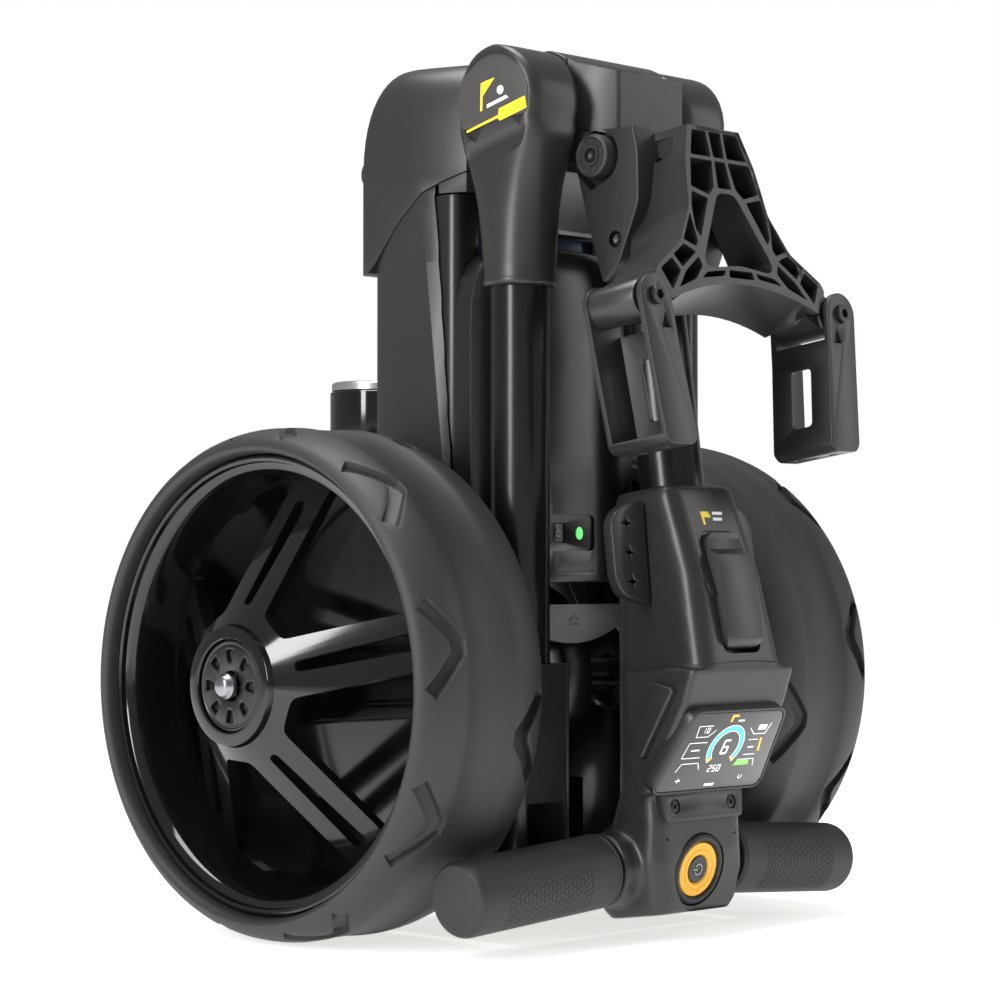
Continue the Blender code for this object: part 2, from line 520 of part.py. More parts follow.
def bag_bracket():
    """Ribbed cradle that the golf bag leans on: a tapering shield with a triangular window."""
    right = [(0.0225, -0.0290), (0.0300, -0.0500), (0.0345, -0.0780), (0.0480, -0.1000),
             (0.0720, -0.1160), (0.0740, -0.1210), (0.0640, -0.1340)]
    arch = [(x, -0.1215 - 0.0125 * (x / 0.064) ** 2) for x in (0.048, 0.032, 0.016, 0.0, -0.016, -0.032, -0.048)]
    outline = right + arch + [(-x, z) for x, z in reversed(right)]
    back = -0.0690
    rings = [[(x, bracket_front(z) if front else back - 0.12 * min(z + 0.09, 0), z) for x, z in outline]
             for front in (True, False)]
    bracket = piece("bag_bracket", skin(rings), "satin plastic", STEM_FRAME)
    soften(bracket, 0.0012, 1)
    bosses = [rod((side * ARM_BOLT.x, ARM_BOLT.y + 0.0040, ARM_BOLT.z), (side * ARM_BOLT.x, -0.0640, ARM_BOLT.z),
                  0.0115, 24) for side in (-1, 1)]
    links = [prism(along_side([(0.060, -0.112), (0.082, -0.122), (0.078, -0.144), (0.058, -0.136)], side), 'Y',
                   -0.0930, -0.0650) for side in (-1, 1)]
    combine(bracket, 'UNION', several(bosses), several(links))
    window = [(-0.0060, -0.0690), (0.0, -0.0655), (0.0060, -0.0690), (0.0290, -0.1080), (0.0270, -0.1130),
              (0.0, -0.1110), (-0.0270, -0.1130), (-0.0290, -0.1080)]
    combine(bracket, 'DIFFERENCE', prism(window, 'Y', -0.12, -0.04),
            several([rod((side * ARM_BOLT.x, -0.11, ARM_BOLT.z), (side * ARM_BOLT.x, -0.05, ARM_BOLT.z), 0.0036, 16)
                     for side in (-1, 1)]))
    pockets = []
    floor = -0.0760
    cells = [[(-0.0190, -0.0320), (-0.0080, -0.0320), (-0.0070, -0.0460), (-0.0235, -0.0460)],
             [(-0.0050, -0.0320), (0.0050, -0.0320), (0.0050, -0.0460), (-0.0050, -0.0460)],
             [(0.0080, -0.0320), (0.0190, -0.0320), (0.0235, -0.0460), (0.0070, -0.0460)],
             [(-0.0245, -0.0490), (-0.0080, -0.0490), (-0.0100, -0.0660), (-0.0285, -0.0700)],
             [(0.0080, -0.0490), (0.0245, -0.0490), (0.0285, -0.0700), (0.0100, -0.0660)],
             [(0.0145, -0.0730), (0.0295, -0.0740), (0.0400, -0.0930), (0.0300, -0.1010)],
             [(-0.0295, -0.0740), (-0.0145, -0.0730), (-0.0300, -0.1010), (-0.0400, -0.0930)],
             [(0.0330, -0.1040), (0.0430, -0.0970), (0.0600, -0.1110), (0.0520, -0.1180), (0.0340, -0.1130)],
             [(-0.0430, -0.0970), (-0.0330, -0.1040), (-0.0340, -0.1130), (-0.0520, -0.1180), (-0.0600, -0.1110)]]
    for cell in cells:
        pockets.append(prism(cell, 'Y', -0.12, floor))
    combine(bracket, 'DIFFERENCE', several(pockets))


def bag_arm(side, label):
    """Swinging arm that grips the bag: front and rear cheeks, a windowed wall and a hook."""
    axis = empty(f"{label}_arm_axis", (side * ARM_BOLT.x, ARM_BOLT.y, ARM_BOLT.z))
    axis.parent = STEM_FRAME
    front, back = -0.0035, 0.0400
    length = 0.0770
    cheek = arc((0, 0), 0.0125, 0, 180, 8) + [(-0.0225, -length), (-0.0180, -length - 0.004), (0.0, -length - 0.004),
                                              (0.0035, -length)]
    arm = piece(f"{label}_bag_arm", prism(along_side(cheek, side), 'Y', front, back), "satin plastic", axis)
    soften(arm, 0.0012, 1)
    low, high = sorted((-side * 0.0150, side * 0.0300))
    gap_top = [(-0.0140, 0.0140), (0.0140, 0.0140), (0.0140, -0.0150), (-0.0170, -0.0150)]
    inner = [(-0.0120, -0.0100), (0.0200, -0.0100), (0.0200, -length + 0.0020), (-0.0180, -length + 0.0020)]
    combine(arm, 'DIFFERENCE',
            prism(along_side(gap_top, side), 'Y', 0.0000, back - 0.0036),
            prism(along_side(inner, side), 'Y', 0.0000, back - 0.0036),
            prism(along_side([(-0.0300, -0.0300), (0.0100, -0.0300), (0.0100, -0.0640), (-0.0300, -0.0640)], side),
                  'Y', 0.0100, back - 0.0130),
            rod((0, -0.01, 0), (0, 0.05, 0), 0.0036, 16),
            prism(along_side([(-0.0060, -0.0090), (-0.0020, -0.0170), (-0.0090, -0.0170)], side), 'Y', -0.01, 0.0),
            several([rod((side * -0.008, 0.0080, -0.09), (side * -0.008, 0.0080, -0.07), 0.0028, 12),
                     rod((side * -0.012, 0.0280, -0.09), (side * -0.012, 0.0280, -0.07), 0.0028, 12)]))
    piece(f"{label}_arm_bolt", turned([
        (0.0032, 0.0420), (0.0032, -0.0034), (0.0052, -0.0039), (0.0052, -0.0058), (0.0045, -0.0064)], 'Y', steps=16),
        "steel", axis)


# ---------------------------------------------------------------- handle
def handle():
    """Handle casting with its display, height lever, dial, grips and mounts, sliding on the stem."""
    frame = STEM_FRAME
    sections = [(-0.2280, 0.0290, -0.0510, -0.0070), (-0.2330, 0.0300, -0.0530, -0.0060),
                (-0.2805, 0.0325, -0.0640, -0.0040), (-0.3320, 0.0360, -0.0680, 0.0000),
                (-0.3700, 0.0370, -0.0500, 0.0030), (-0.3950, 0.0370, -0.0330, 0.0060),
                (-0.4150, 0.0380, -0.0265, 0.0150), (-0.4377, 0.0400, -0.0220, 0.0300),
                (-0.4600, 0.0360, -0.0180, 0.0300), (-0.4660, 0.0320, -0.0150, 0.0270)]
    rings = [[(x, y, z) for x, y in rounded(half, low, high, 0.0090, 4)] for z, half, low, high in sections]
    shell = piece("handle_shell", skin(rings), "satin plastic", frame)
    combine(shell, 'UNION', skin([
        [(x, GRIP_INNER.y + GRIP_BAR_RADIUS * wide * math.cos(a),
          GRIP_INNER.z + GRIP_BAR_RADIUS * wide * math.sin(a) + lift)
         for a in [math.tau * i / 28 for i in range(28)]]
        for x, wide, lift in ((-0.0502, 1.0, 0), (-0.0400, 1.05, 0.001), (0.0400, 1.05, 0.001), (0.0502, 1.0, 0))]))
    pod = [(-0.0500, -0.3300), (-0.0660, -0.3360), (-0.0668, -0.3520), (-0.0325, -0.3980),
           (-0.0150, -0.4000), (-0.0150, -0.3300)]
    normal = Vector((0, -math.cos(DIAL_TILT), -math.sin(DIAL_TILT)))
    seat = DIAL - normal * DIAL_SEAT_DEPTH
    cheek = [(-0.0400, -0.3360), (-0.0560, -0.3420), (-0.0250, -0.3800), (-0.0175, -0.3700)]
    combine(shell, 'UNION', prism(pod, 'X', -0.0430, 0.0430), prism(cheek, 'X', -0.0485, 0.0485))
    combine(shell, 'DIFFERENCE',
            rod((0, STEM_TUBE_Y, -0.3600), (0, STEM_TUBE_Y, -0.2200), STEM_TUBE_RADIUS + GAP, 28),
            rod(seat, seat + normal * 0.05, DIAL_SEAT_RADIUS, 28),
            box((-0.0160, -0.0800, -0.3290), (0.0160, -0.0590, -0.2420)),
            box((-0.0300, -0.0230, -0.4250), (0.0300, 0.0020, -0.3550)))
    lever = piece("height_lever", prism(
        [(-0.0615, -0.3245), (-0.0700, -0.3245), (-0.0712, -0.3100), (-0.0706, -0.2720), (-0.0680, -0.2660),
         (-0.0615, -0.2640)], 'X', -LEVER_HALF_WIDTH, LEVER_HALF_WIDTH), "satin plastic", frame, LEVER_HINGE)
    soften(lever, 0.0015)
    display(frame)
    dial(frame, normal)
    for side, label in ((-1, "left"), (1, "right")):
        handle_side(frame, side, label)


def display(frame):
    """Colour display: a bezel wedge on the casting's sloping face, with its glass in front."""
    top, bottom = Vector((0, -0.0668, -0.3541)), Vector((0, -0.0331, -0.3965))
    normal = Vector((0, bottom.z - top.z, top.y - bottom.y)).normalized()
    if normal.y > 0:
        normal = -normal

    def plate(grow, start, depth):
        corners = []
        for x, point in ((0.0385 + grow, top), (0.0460 + grow, bottom), (-0.0460 - grow, bottom), (-0.0385 - grow, top)):
            away = (top - bottom).normalized() * (grow if point is top else -grow)
            corners.append(Vector((x, 0, 0)) + point + away)
        return skin([[corner + normal * depth_at for corner in corners] for depth_at in (start, start + depth)])

    bezel = piece("display_bezel", plate(0.0015, 0.0010, 0.0050), "satin plastic", frame)
    soften(bezel, 0.0012)
    combine(bezel, 'DIFFERENCE', plate(-0.0004, 0.0040, 0.0100))
    piece("display_glass", plate(-0.0009, 0.0043, 0.0018), "screen glass", frame)


def dial(frame, normal):
    """Speed dial: rubber knurl, yellow ring and a push button, all on one tilted axis."""
    axis = empty("dial_axis", DIAL, 0)
    axis.parent = frame
    turn = (-normal).to_track_quat('Y', 'X').to_matrix().to_4x4()

    def tilted(profile, steps=24):
        mesh = turned(profile, 'Y', steps=steps, ring=profile[0][0] > 0.004)
        bmesh.ops.transform(mesh, matrix=turn, verts=mesh.verts)
        return mesh

    piece("dial_ring", tilted([
        (0.0165, 0.0110), (0.0205, 0.0110), (0.0205, 0.0015), (0.0198, 0.0), (0.0166, -0.0006), (0.0160, 0.0010),
        (0.0160, 0.0030), (0.0165, 0.0030)]), "soft rubber", axis)
    piece("dial_yellow_ring", tilted([
        (0.0082, 0.0040), (0.0156, 0.0040), (0.0156, 0.0004), (0.0148, -0.0004), (0.0088, -0.0004),
        (0.0082, 0.0004)]), "yellow", axis)
    piece("dial_button", tilted([(0.0020, 0.0090), (0.0060, 0.0060), (0.0078, 0.0056), (0.0078, 0.0002),
                                 (0.0072, -0.0004), (0.0030, -0.0006)], 20), "satin plastic", axis)


def handle_side(frame, side, label):
    """One side of the handle: grip, and accessory mount with star sockets."""
    inner = Vector((side * (GRIP_INNER.x + 0.0003), GRIP_INNER.y, GRIP_INNER.z))
    outer = Vector((side * GRIP_OUTER.x, GRIP_OUTER.y, GRIP_OUTER.z))
    along = (outer - inner).normalized()
    rings = []
    turn = along.to_track_quat('Z', 'X').to_matrix()
    for distance, radius in ((0.0, 0.0200), (0.0015, GRIP_RADIUS), (0.1040, GRIP_RADIUS), (0.1075, 0.0200),
                             (0.1095, 0.0170), (0.1100, 0.0120)):
        rings.append([inner + along * distance + turn @ Vector((radius * math.cos(math.tau * i / 24),
                                                                 radius * math.sin(math.tau * i / 24), 0))
                      for i in range(24)])
    piece(f"{label}_grip", skin(rings), "soft rubber", frame)
    outline = [(0.0322, -0.2350), (0.0500, -0.2380), (0.0600, -0.2450), (0.0610, -0.2800), (0.0560, -0.2870),
               (0.0352, -0.2930)]
    mount = piece(f"{label}_accessory_mount", prism(along_side(outline, side), 'Y', -0.0340, -0.0270),
                  "satin plastic", frame)
    soften(mount, 0.0012, 1)
    stars = []
    for n in range(3):
        centre = (side * 0.0480, -0.2470 - 0.0165 * n)
        star = [(centre[0] + (0.0036 if i % 2 == 0 else 0.0016) * math.cos(math.tau * i / 8),
                 centre[1] + (0.0036 if i % 2 == 0 else 0.0016) * math.sin(math.tau * i / 8)) for i in range(8)]
        stars.append(prism(star, 'Y', -0.04, -0.02))
    combine(mount, 'DIFFERENCE', several(stars))


# ---------------------------------------------------------------- front wheel, folded behind the body
def smooth(points, steps=3):
    """Catmull-Rom points through a short route."""
    ends = [points[0]] + list(points) + [points[-1]]
    result = []
    for i in range(1, len(ends) - 2):
        a, b, c, d = (Vector(p) for p in ends[i - 1:i + 3])
        for k in range(steps):
            t = k / steps
            result.append(0.5 * (2 * b + (c - a) * t + (2 * a - 5 * b + 4 * c - d) * t * t
                                 + (3 * b - a - 3 * c + d) * t ** 3))
    return [tuple(p) for p in result] + [tuple(points[-1])]


def front_wheel():
    """Cranked fork on its pivot, with a small wheel that turns on its own axle."""
    fork_axis = empty("fork_axis", FORK_PIVOT)
    leg_x = 0.0340
    route = [(0.0, 0.0), (0.0030, -0.1500), (0.0200, -0.2300), (FRONT_CENTRE.y - FORK_PIVOT.y, FRONT_CENTRE.z - FORK_PIVOT.z)]
    fork = piece("front_fork", tubular([(-leg_x, y, z) for y, z in smooth(route)], 0.0070, 10), "painted tube", fork_axis)
    combine(fork, 'UNION', tubular([(leg_x, y, z) for y, z in smooth(route)], 0.0070, 10),
            rod((-0.0480, 0, 0), (0.0480, 0, 0), 0.0085, 16),
            rod((-leg_x, *route[-1]), (-leg_x + 0.008, *route[-1]), 0.0100, 16),
            rod((leg_x, *route[-1]), (leg_x - 0.008, *route[-1]), 0.0100, 16))
    combine(fork, 'DIFFERENCE', rod((-0.06, 0, 0), (0.06, 0, 0), 0.0054, 16),
            rod((-0.05, *route[-1]), (0.05, *route[-1]), 0.0044, 16))
    piece("fork_pin", turned([(0.0050, -0.0560), (0.0050, 0.0560)], 'X', FORK_PIVOT, steps=16), "steel")
    wheel_axis = empty("front_wheel_axis", FRONT_CENTRE)
    piece("front_axle", turned([(0.0040, -0.0420), (0.0040, 0.0420)], 'X', steps=16), "steel", wheel_axis)
    piece("front_tyre", turned([
        (0.0604, -0.0185), (0.0700, -0.0200), (0.0770, -0.0150), (FRONT_RADIUS, -0.0070), (FRONT_RADIUS, 0.0070),
        (0.0770, 0.0150), (0.0700, 0.0200), (0.0604, 0.0185)], 'X', steps=32, ring=True), "tyre rubber", wheel_axis)
    rim = piece("front_rim", turned([
        (0.0044, -0.0200), (0.0120, -0.0200), (0.0140, -0.0060), (0.0520, -0.0060), (0.0540, -0.0170),
        (0.0600, -0.0185), (0.0600, 0.0185), (0.0540, 0.0170), (0.0520, 0.0060), (0.0140, 0.0060),
        (0.0120, 0.0200), (0.0044, 0.0200)], 'X', steps=32, ring=True), "gloss plastic", wheel_axis)
    holes = []
    for n in range(5):
        angle = math.tau * n / 5
        y, z = 0.0330 * math.cos(angle), 0.0330 * math.sin(angle)
        holes.append(rod((-0.01, y, z), (0.01, y, z), 0.0110, 10))
    combine(rim, 'DIFFERENCE', several(holes))


for side, label in ((-1, "left"), (1, "right")):
    drive_wheel(side, label)
drive_train()
gearbox()
frame()
body()
stem()
handle()
front_wheel()
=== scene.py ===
"""Folded electric golf trolley: the visible surfaces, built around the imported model."""
import math

import bmesh
import bpy
from mathutils import Matrix, Vector


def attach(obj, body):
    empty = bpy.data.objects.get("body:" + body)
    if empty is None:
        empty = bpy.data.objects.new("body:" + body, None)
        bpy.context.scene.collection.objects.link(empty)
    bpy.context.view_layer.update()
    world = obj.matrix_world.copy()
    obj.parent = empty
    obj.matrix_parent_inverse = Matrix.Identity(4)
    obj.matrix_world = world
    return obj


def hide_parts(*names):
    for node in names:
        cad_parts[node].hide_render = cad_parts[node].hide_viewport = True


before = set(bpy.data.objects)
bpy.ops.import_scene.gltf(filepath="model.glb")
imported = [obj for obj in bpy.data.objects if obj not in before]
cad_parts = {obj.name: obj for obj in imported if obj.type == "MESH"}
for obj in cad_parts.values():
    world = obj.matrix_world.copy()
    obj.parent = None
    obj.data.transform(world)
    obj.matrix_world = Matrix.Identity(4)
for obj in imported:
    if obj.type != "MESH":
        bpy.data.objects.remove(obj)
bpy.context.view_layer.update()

# ------------------------------------------------------------------ studio
# A flat pale floor under an even white surround, lit by soft boxes, with the camera at wheel height.
# None of it belongs to the trolley.
WHITE = (1.0, 1.0, 1.0, 1.0)
SURROUND_LIGHT, FLOOR_GLOW, FLOOR_DROP = 0.36, 0.70, 0.0004
CAMERA_AT = Vector((-1.2205, -1.2031, 0.2110))
CAMERA_AIM = Vector((0.7141, 0.6997, 0.0238))
camera_data = bpy.data.cameras.new("camera")
camera_data.lens = 101.39
camera_data.sensor_width = 36.0
camera = bpy.data.objects.new("camera", camera_data)
bpy.context.scene.collection.objects.link(camera)
camera.location = CAMERA_AT
camera.rotation_mode = 'QUATERNION'
camera.rotation_quaternion = CAMERA_AIM.to_track_quat('-Z', 'Y')
bpy.context.scene.camera = camera
bpy.context.scene.view_settings.view_transform = 'Standard'

world = bpy.data.worlds.new("studio")
bpy.context.scene.world = world
world.use_nodes = True
nodes, links = world.node_tree.nodes, world.node_tree.links
background = nodes["Background"]
background.inputs["Color"].default_value = WHITE
background.inputs["Strength"].default_value = SURROUND_LIGHT
# the camera sees the surround at full white, while everything else is lit by the dimmer one
seen = nodes.new("ShaderNodeBackground")
seen.inputs["Color"].default_value = WHITE
ray, choice = nodes.new("ShaderNodeLightPath"), nodes.new("ShaderNodeMixShader")
for source, target in ((ray.outputs["Is Camera Ray"], choice.inputs[0]), (seen.outputs[0], choice.inputs[2]),
                       (background.outputs[0], choice.inputs[1]),
                       (choice.outputs[0], nodes["World Output"].inputs["Surface"])):
    links.new(source, target)


def soft_box(name, place, aim, width, height, power):
    """A rectangular studio light that faces a point."""
    data = bpy.data.lights.new(name, 'AREA')
    data.shape = 'RECTANGLE'
    data.size, data.size_y = width, height
    data.energy = power
    lamp = bpy.data.objects.new(name, data)
    bpy.context.scene.collection.objects.link(lamp)
    lamp.location = place
    lamp.rotation_mode = 'QUATERNION'
    lamp.rotation_quaternion = (Vector(aim) - Vector(place)).to_track_quat('-Z', 'Y')


MIDDLE = (0.0, 0.0, 0.25)
soft_box("overhead", (-0.2, 0.1, 1.9), MIDDLE, 1.1, 1.1, 36.0)
soft_box("left_side", (-2.0, -0.25, 1.0), MIDDLE, 0.40, 1.5, 36.0)
soft_box("right_side", (1.7, -1.4, 0.9), MIDDLE, 0.35, 1.4, 7.0)

bpy.ops.object.select_all(action='DESELECT')
bpy.ops.mesh.primitive_plane_add(size=16.0, location=(0, 0, -FLOOR_DROP))
floor = bpy.context.object
floor.name = "floor"
bpy.ops.object.transform_apply(location=True, rotation=True, scale=True)
pale = bpy.data.materials.new("pale_floor")
pale.use_nodes = True
for socket, value in (("Base Color", (0.93, 0.93, 0.93, 1.0)), ("Roughness", 0.55),
                      ("Specular IOR Level", 0.2), ("Emission Color", (1.0, 0.985, 0.96, 1.0)),
                      ("Emission Strength", FLOOR_GLOW)):
    pale.node_tree.nodes["Principled BSDF"].inputs[socket].default_value = value
floor.data.materials.append(pale)


# ------------------------------------------------------------------ drive tyres
# Solid moulded tyres of matt grey rubber, pressed over the rims. A low band runs round the middle
# of the tread, and nine arrow-shaped notches are moulded into each shoulder.


class Wire:
    """A socket of a material. Sums written with it add the Math nodes."""

    def __init__(self, tree, socket):
        self.tree, self.socket = tree, socket

    def node(self, kind, settings=None, values=None, output=0):
        """Any node: its type, its settings, then what its sockets hold or read."""
        made = self.tree.nodes.new(kind)
        for name, setting in (settings or {}).items():
            setattr(made, name, setting)
        for name, value in (values or {}).items():
            if isinstance(value, Wire):
                self.tree.links.new(value.socket, made.inputs[name])
            else:
                made.inputs[name].default_value = value
        return Wire(self.tree, made.outputs[output])

    def maths(self, operation, *terms):
        return self.node("ShaderNodeMath", {"operation": operation}, dict(enumerate(terms)))

    def __add__(self, other):
        return self.maths('ADD', self, other)

    def __sub__(self, other):
        return self.maths('SUBTRACT', self, other)

    def __rsub__(self, other):
        return self.maths('SUBTRACT', other, self)

    def __mul__(self, other):
        return self.maths('MULTIPLY', self, other)

    __radd__, __rmul__ = __add__, __mul__

    def noise(self, scale, detail=2.0):
        return self.node("ShaderNodeTexNoise", None, {"Vector": self, "Scale": scale, "Detail": detail})

    def stretched(self, x, y, z):
        """The same coordinates, drawn out along an axis."""
        return self.node("ShaderNodeMapping", None, {"Vector": self, "Scale": (x, y, z)})

    def between(self, first, second):
        """Two colours, mixed by this value."""
        return self.node("ShaderNodeMix", {"data_type": 'RGBA', "clamp_factor": True},
                         {0: self, 6: (*first, 1.0), 7: (*second, 1.0)}, 2)


def finish(name, dark, light, roughness, grain=0.00005, grain_scale=1400.0, cloud=0.06,
           drawn=(1.0, 1.0, 1.0), **constants):
    """A finish with slow shade changes, fine grain and uneven gloss; constants sit on the shader."""
    made = bpy.data.materials.new(name)
    made.use_nodes = True
    tree = made.node_tree
    shader = tree.nodes["Principled BSDF"]
    for socket, value in constants.items():
        shader.inputs[socket.replace("_", " ")].default_value = value
    place = Wire(tree, tree.nodes.new("ShaderNodeTexCoord").outputs["Object"])
    drift = place.noise(11.0, 3.0)
    speck = place.stretched(*drawn).noise(grain_scale)
    handled = place.noise(60.0, 5.0)
    bump = place.node("ShaderNodeBump", None, {"Strength": 0.6, "Distance": grain, "Height": speck})
    for socket, wire in (("Base Color", (drift * 0.7 + speck * 0.3).between(dark, light)),
                         ("Roughness", roughness + (handled - 0.5) * cloud + (speck - 0.5) * cloud),
                         ("Normal", bump)):
        tree.links.new(wire.socket, shader.inputs[socket])
    return made


# solid turned pieces close at this radius, just off their axis
NEAR_AXIS = 0.0001


def only(thing):
    """Leave one object selected and active."""
    bpy.ops.object.select_all(action='DESELECT')
    thing.select_set(True)
    bpy.context.view_layer.objects.active = thing


def ring_of(name, points, fill='NGON'):
    """A circle of vertices, set on an outline's points."""
    bpy.ops.object.select_all(action='DESELECT')
    bpy.ops.mesh.primitive_circle_add(vertices=len(points), fill_type=fill)
    made = bpy.context.object
    made.name = name
    for vertex, point in zip(made.data.vertices, points):
        vertex.co = point
    return made


def closed(made):
    """Merge doubles and face everything outwards, then leave edit mode."""
    bpy.ops.mesh.select_all(action='SELECT')
    bpy.ops.mesh.remove_doubles(threshold=0.00001)
    bpy.ops.mesh.normals_make_consistent(inside=False)
    bpy.ops.object.mode_set(mode='OBJECT')
    return made


def lathe(name, profile, centre=(0, 0, 0), axis='X', steps=96):
    """Spin a closed outline of (radius, along) points round an axis."""
    out, along = {'X': ((0, 0, 1), (1, 0, 0)), 'Y': ((0, 0, 1), (0, 1, 0)),
                  'Z': ((1, 0, 0), (0, 0, 1))}[axis]
    made = ring_of(name, [Vector(centre) + Vector(out) * r + Vector(along) * a for r, a in profile],
                   'NOTHING')
    bpy.ops.object.mode_set(mode='EDIT')
    bpy.ops.mesh.select_all(action='SELECT')
    bpy.ops.mesh.spin(steps=steps, angle=math.tau, center=centre, axis=along)
    return closed(made)


def rod(name, radius, low, high, *settings):
    """A solid round bar; its settings are those of a lathe."""
    return lathe(name, [(NEAR_AXIS, low), (radius, low), (radius, high), (NEAR_AXIS, high)], *settings)


def loft(name, rings):
    """Extrude an outline through a row of sections with equal point counts."""
    made = ring_of(name, rings[0])
    bpy.ops.object.mode_set(mode='EDIT')
    bpy.ops.mesh.select_all(action='SELECT')
    for before, after in zip(rings, rings[1:]):
        bpy.ops.mesh.extrude_region_move()
        mesh = bmesh.from_edit_mesh(made.data)
        before = [Vector(point) for point in before]
        for vertex in [v for v in mesh.verts if v.select]:
            vertex.co = after[min(range(len(before)), key=lambda i: (before[i] - vertex.co).length_squared)]
        bmesh.update_edit_mesh(made.data)
    return closed(made)


def prism(name, outline, axis, low, high):
    """An outline across an axis, given depth along it."""
    spread = {'X': lambda a, b, t: (t, a, b), 'Y': lambda a, b, t: (a, t, b),
              'Z': lambda a, b, t: (a, b, t)}[axis]
    return loft(name, [[spread(a, b, t) for a, b in outline] for t in (low, high)])


def oblong(a0, b0, a1, b1):
    """The outline of a rectangle, from one corner to the opposite one."""
    return [(a0, b0), (a1, b0), (a1, b1), (a0, b1)]


def arc(centre, radius, start, end, steps):
    """Points of an arc, in degrees, both ends included."""
    turns = [math.radians(start + (end - start) * i / steps) for i in range(steps + 1)]
    return [(centre[0] + radius * math.cos(turn), centre[1] + radius * math.sin(turn)) for turn in turns]


def eased(outline, radius, steps=4):
    """The same outline with its corners rounded."""
    points = [Vector(point) for point in outline]
    result = []
    for i, corner in enumerate(points):
        ends = []
        for other in (points[i - 1], points[(i + 1) % len(points)]):
            reach = other - corner
            ends.append(corner + reach.normalized() * min(radius, reach.length * 0.49))
        for k in range(steps + 1):
            t = k / steps
            result.append(tuple(ends[0] * (1 - t) ** 2 + corner * 2 * t * (1 - t) + ends[1] * t * t))
    return result


def joined(name, things):
    """Join objects into one."""
    bpy.ops.object.select_all(action='DESELECT')
    for thing in things:
        thing.select_set(True)
    bpy.context.view_layer.objects.active = things[0]
    if len(things) > 1:
        bpy.ops.object.join()
    things[0].name = name
    return things[0]


def applied(made, kind, **settings):
    """Add a modifier and apply it."""
    step = made.modifiers.new("step", kind)
    for name, value in settings.items():
        setattr(step, name, value)
    only(made)
    bpy.ops.object.modifier_apply(modifier=step.name)
    return made


def carve(made, *tools, operation='DIFFERENCE'):
    """Cut tools out of a piece, or weld them on, and remove the tools."""
    for tool in tools:
        applied(made, 'BOOLEAN', operation=operation, solver='EXACT', object=tool)
        bpy.data.objects.remove(tool, do_unlink=True)
    return made


def round_edges(made, width, segments=2, angle=35.0):
    """Round the sharp edges."""
    return applied(made, 'BEVEL', width=width, segments=segments, limit_method='ANGLE',
                   angle_limit=math.radians(angle))


def copy_of(made, name, matrix=None):
    """A copy with its own mesh, moved or mirrored there."""
    twin = bpy.data.objects.new(name, made.data.copy())
    bpy.context.scene.collection.objects.link(twin)
    if matrix is not None:
        twin.data.transform(matrix)
        only(twin)
        bpy.ops.object.mode_set(mode='EDIT')
        closed(twin)
    return twin


def place(made, body, slot, material, *nodes, angle=32.0):
    """Shade a finished piece, give it its material and body, and hide the imported nodes it stands for."""
    only(made)
    bpy.ops.object.shade_smooth_by_angle(angle=math.radians(angle))
    made.data.materials.clear()
    made.data.materials.append(material)
    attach(made, body)
    if nodes:
        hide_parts(*nodes)
    return made


SIDES = ((-1, "left"), (1, "right"))
OPPOSITE = Matrix.Scale(-1, 4, (1, 0, 0))
HUB = Vector((0.0, 0.0, 0.145))
TYRE_MIDDLE, TREAD = 0.1455, 0.1450
SHOULDER = [(0.1300, 0.0410), (0.1304, 0.0443), (0.1316, 0.0466), (0.1335, 0.0475), (0.1362, 0.0466),
            (0.1388, 0.0442), (0.1410, 0.0405), (0.1427, 0.0360), (0.1439, 0.0312), (0.1446, 0.0272),
            (TREAD, 0.0232), (TREAD, 0.0170), (0.1443, 0.0160)]
NOTCHES, NOTCH_TURN, NOTCH_DEPTH = 9, 130.5, 0.0036
RUBBER_TYRE = finish("tyre_rubber", (0.0130, 0.0126, 0.0119), (0.0180, 0.0174, 0.0165), 0.56, 0.00006, 900.0,
                     0.05)

outer = [(r, TYRE_MIDDLE + x) for r, x in SHOULDER]
inner = [(r, TYRE_MIDDLE - x) for r, x in reversed(SHOULDER)]
tyre = lathe("tyre", outer + inner + [(0.1226, 0.1030), (0.1226, 0.1782), (0.1298, 0.1796)], HUB, 'X', 144)


def surface_at(across):
    """The tyre's radius at a distance from its middle."""
    for (r0, x0), (r1, x1) in zip(SHOULDER[3:], SHOULDER[4:]):
        if x1 <= across <= x0:
            return r0 + (r1 - r0) * (x0 - across) / (x0 - x1)
    return TREAD


arrow = [(-12.0, 0.0385), (-6.2, 0.0275), (-1.6, 0.0178), (1.6, 0.0178), (6.2, 0.0275), (12.0, 0.0385),
         (9.2, 0.0452), (4.6, 0.0365), (1.0, 0.0296), (-1.0, 0.0296), (-4.6, 0.0365), (-9.2, 0.0452)]
notches = []
for flank, shift in ((1, 0.0), (-1, 180.0 / NOTCHES)):
    for n in range(NOTCHES):
        rings = []
        for grow, lift in ((0.90, -NOTCH_DEPTH), (1.06, 0.010)):
            ring = []
            for turn, across in arrow:
                across_now = 0.0325 + (across - 0.0325) * grow
                angle = math.radians(NOTCH_TURN + shift + 360.0 * n / NOTCHES + turn * grow)
                reach = surface_at(across) + lift
                ring.append(HUB + Vector((-TYRE_MIDDLE - flank * across_now, reach * math.cos(angle),
                                          reach * math.sin(angle))))
            rings.append(ring)
        notches.append(loft("notch", rings))
tyre.data.transform(OPPOSITE)
only(tyre)
bpy.ops.object.mode_set(mode='EDIT')
closed(tyre)
carve(tyre, joined("notches", notches))
round_edges(tyre, 0.0007, 2, 38.0)
tyre.name = "left_tyre_rubber"
place(copy_of(tyre, "right_tyre_rubber", OPPOSITE), "right_wheel", "tyre_rubber", RUBBER_TYRE, "right_tyre",
      angle=40.0)
place(tyre, "left_wheel", "tyre_rubber", RUBBER_TYRE, "left_tyre", angle=40.0)

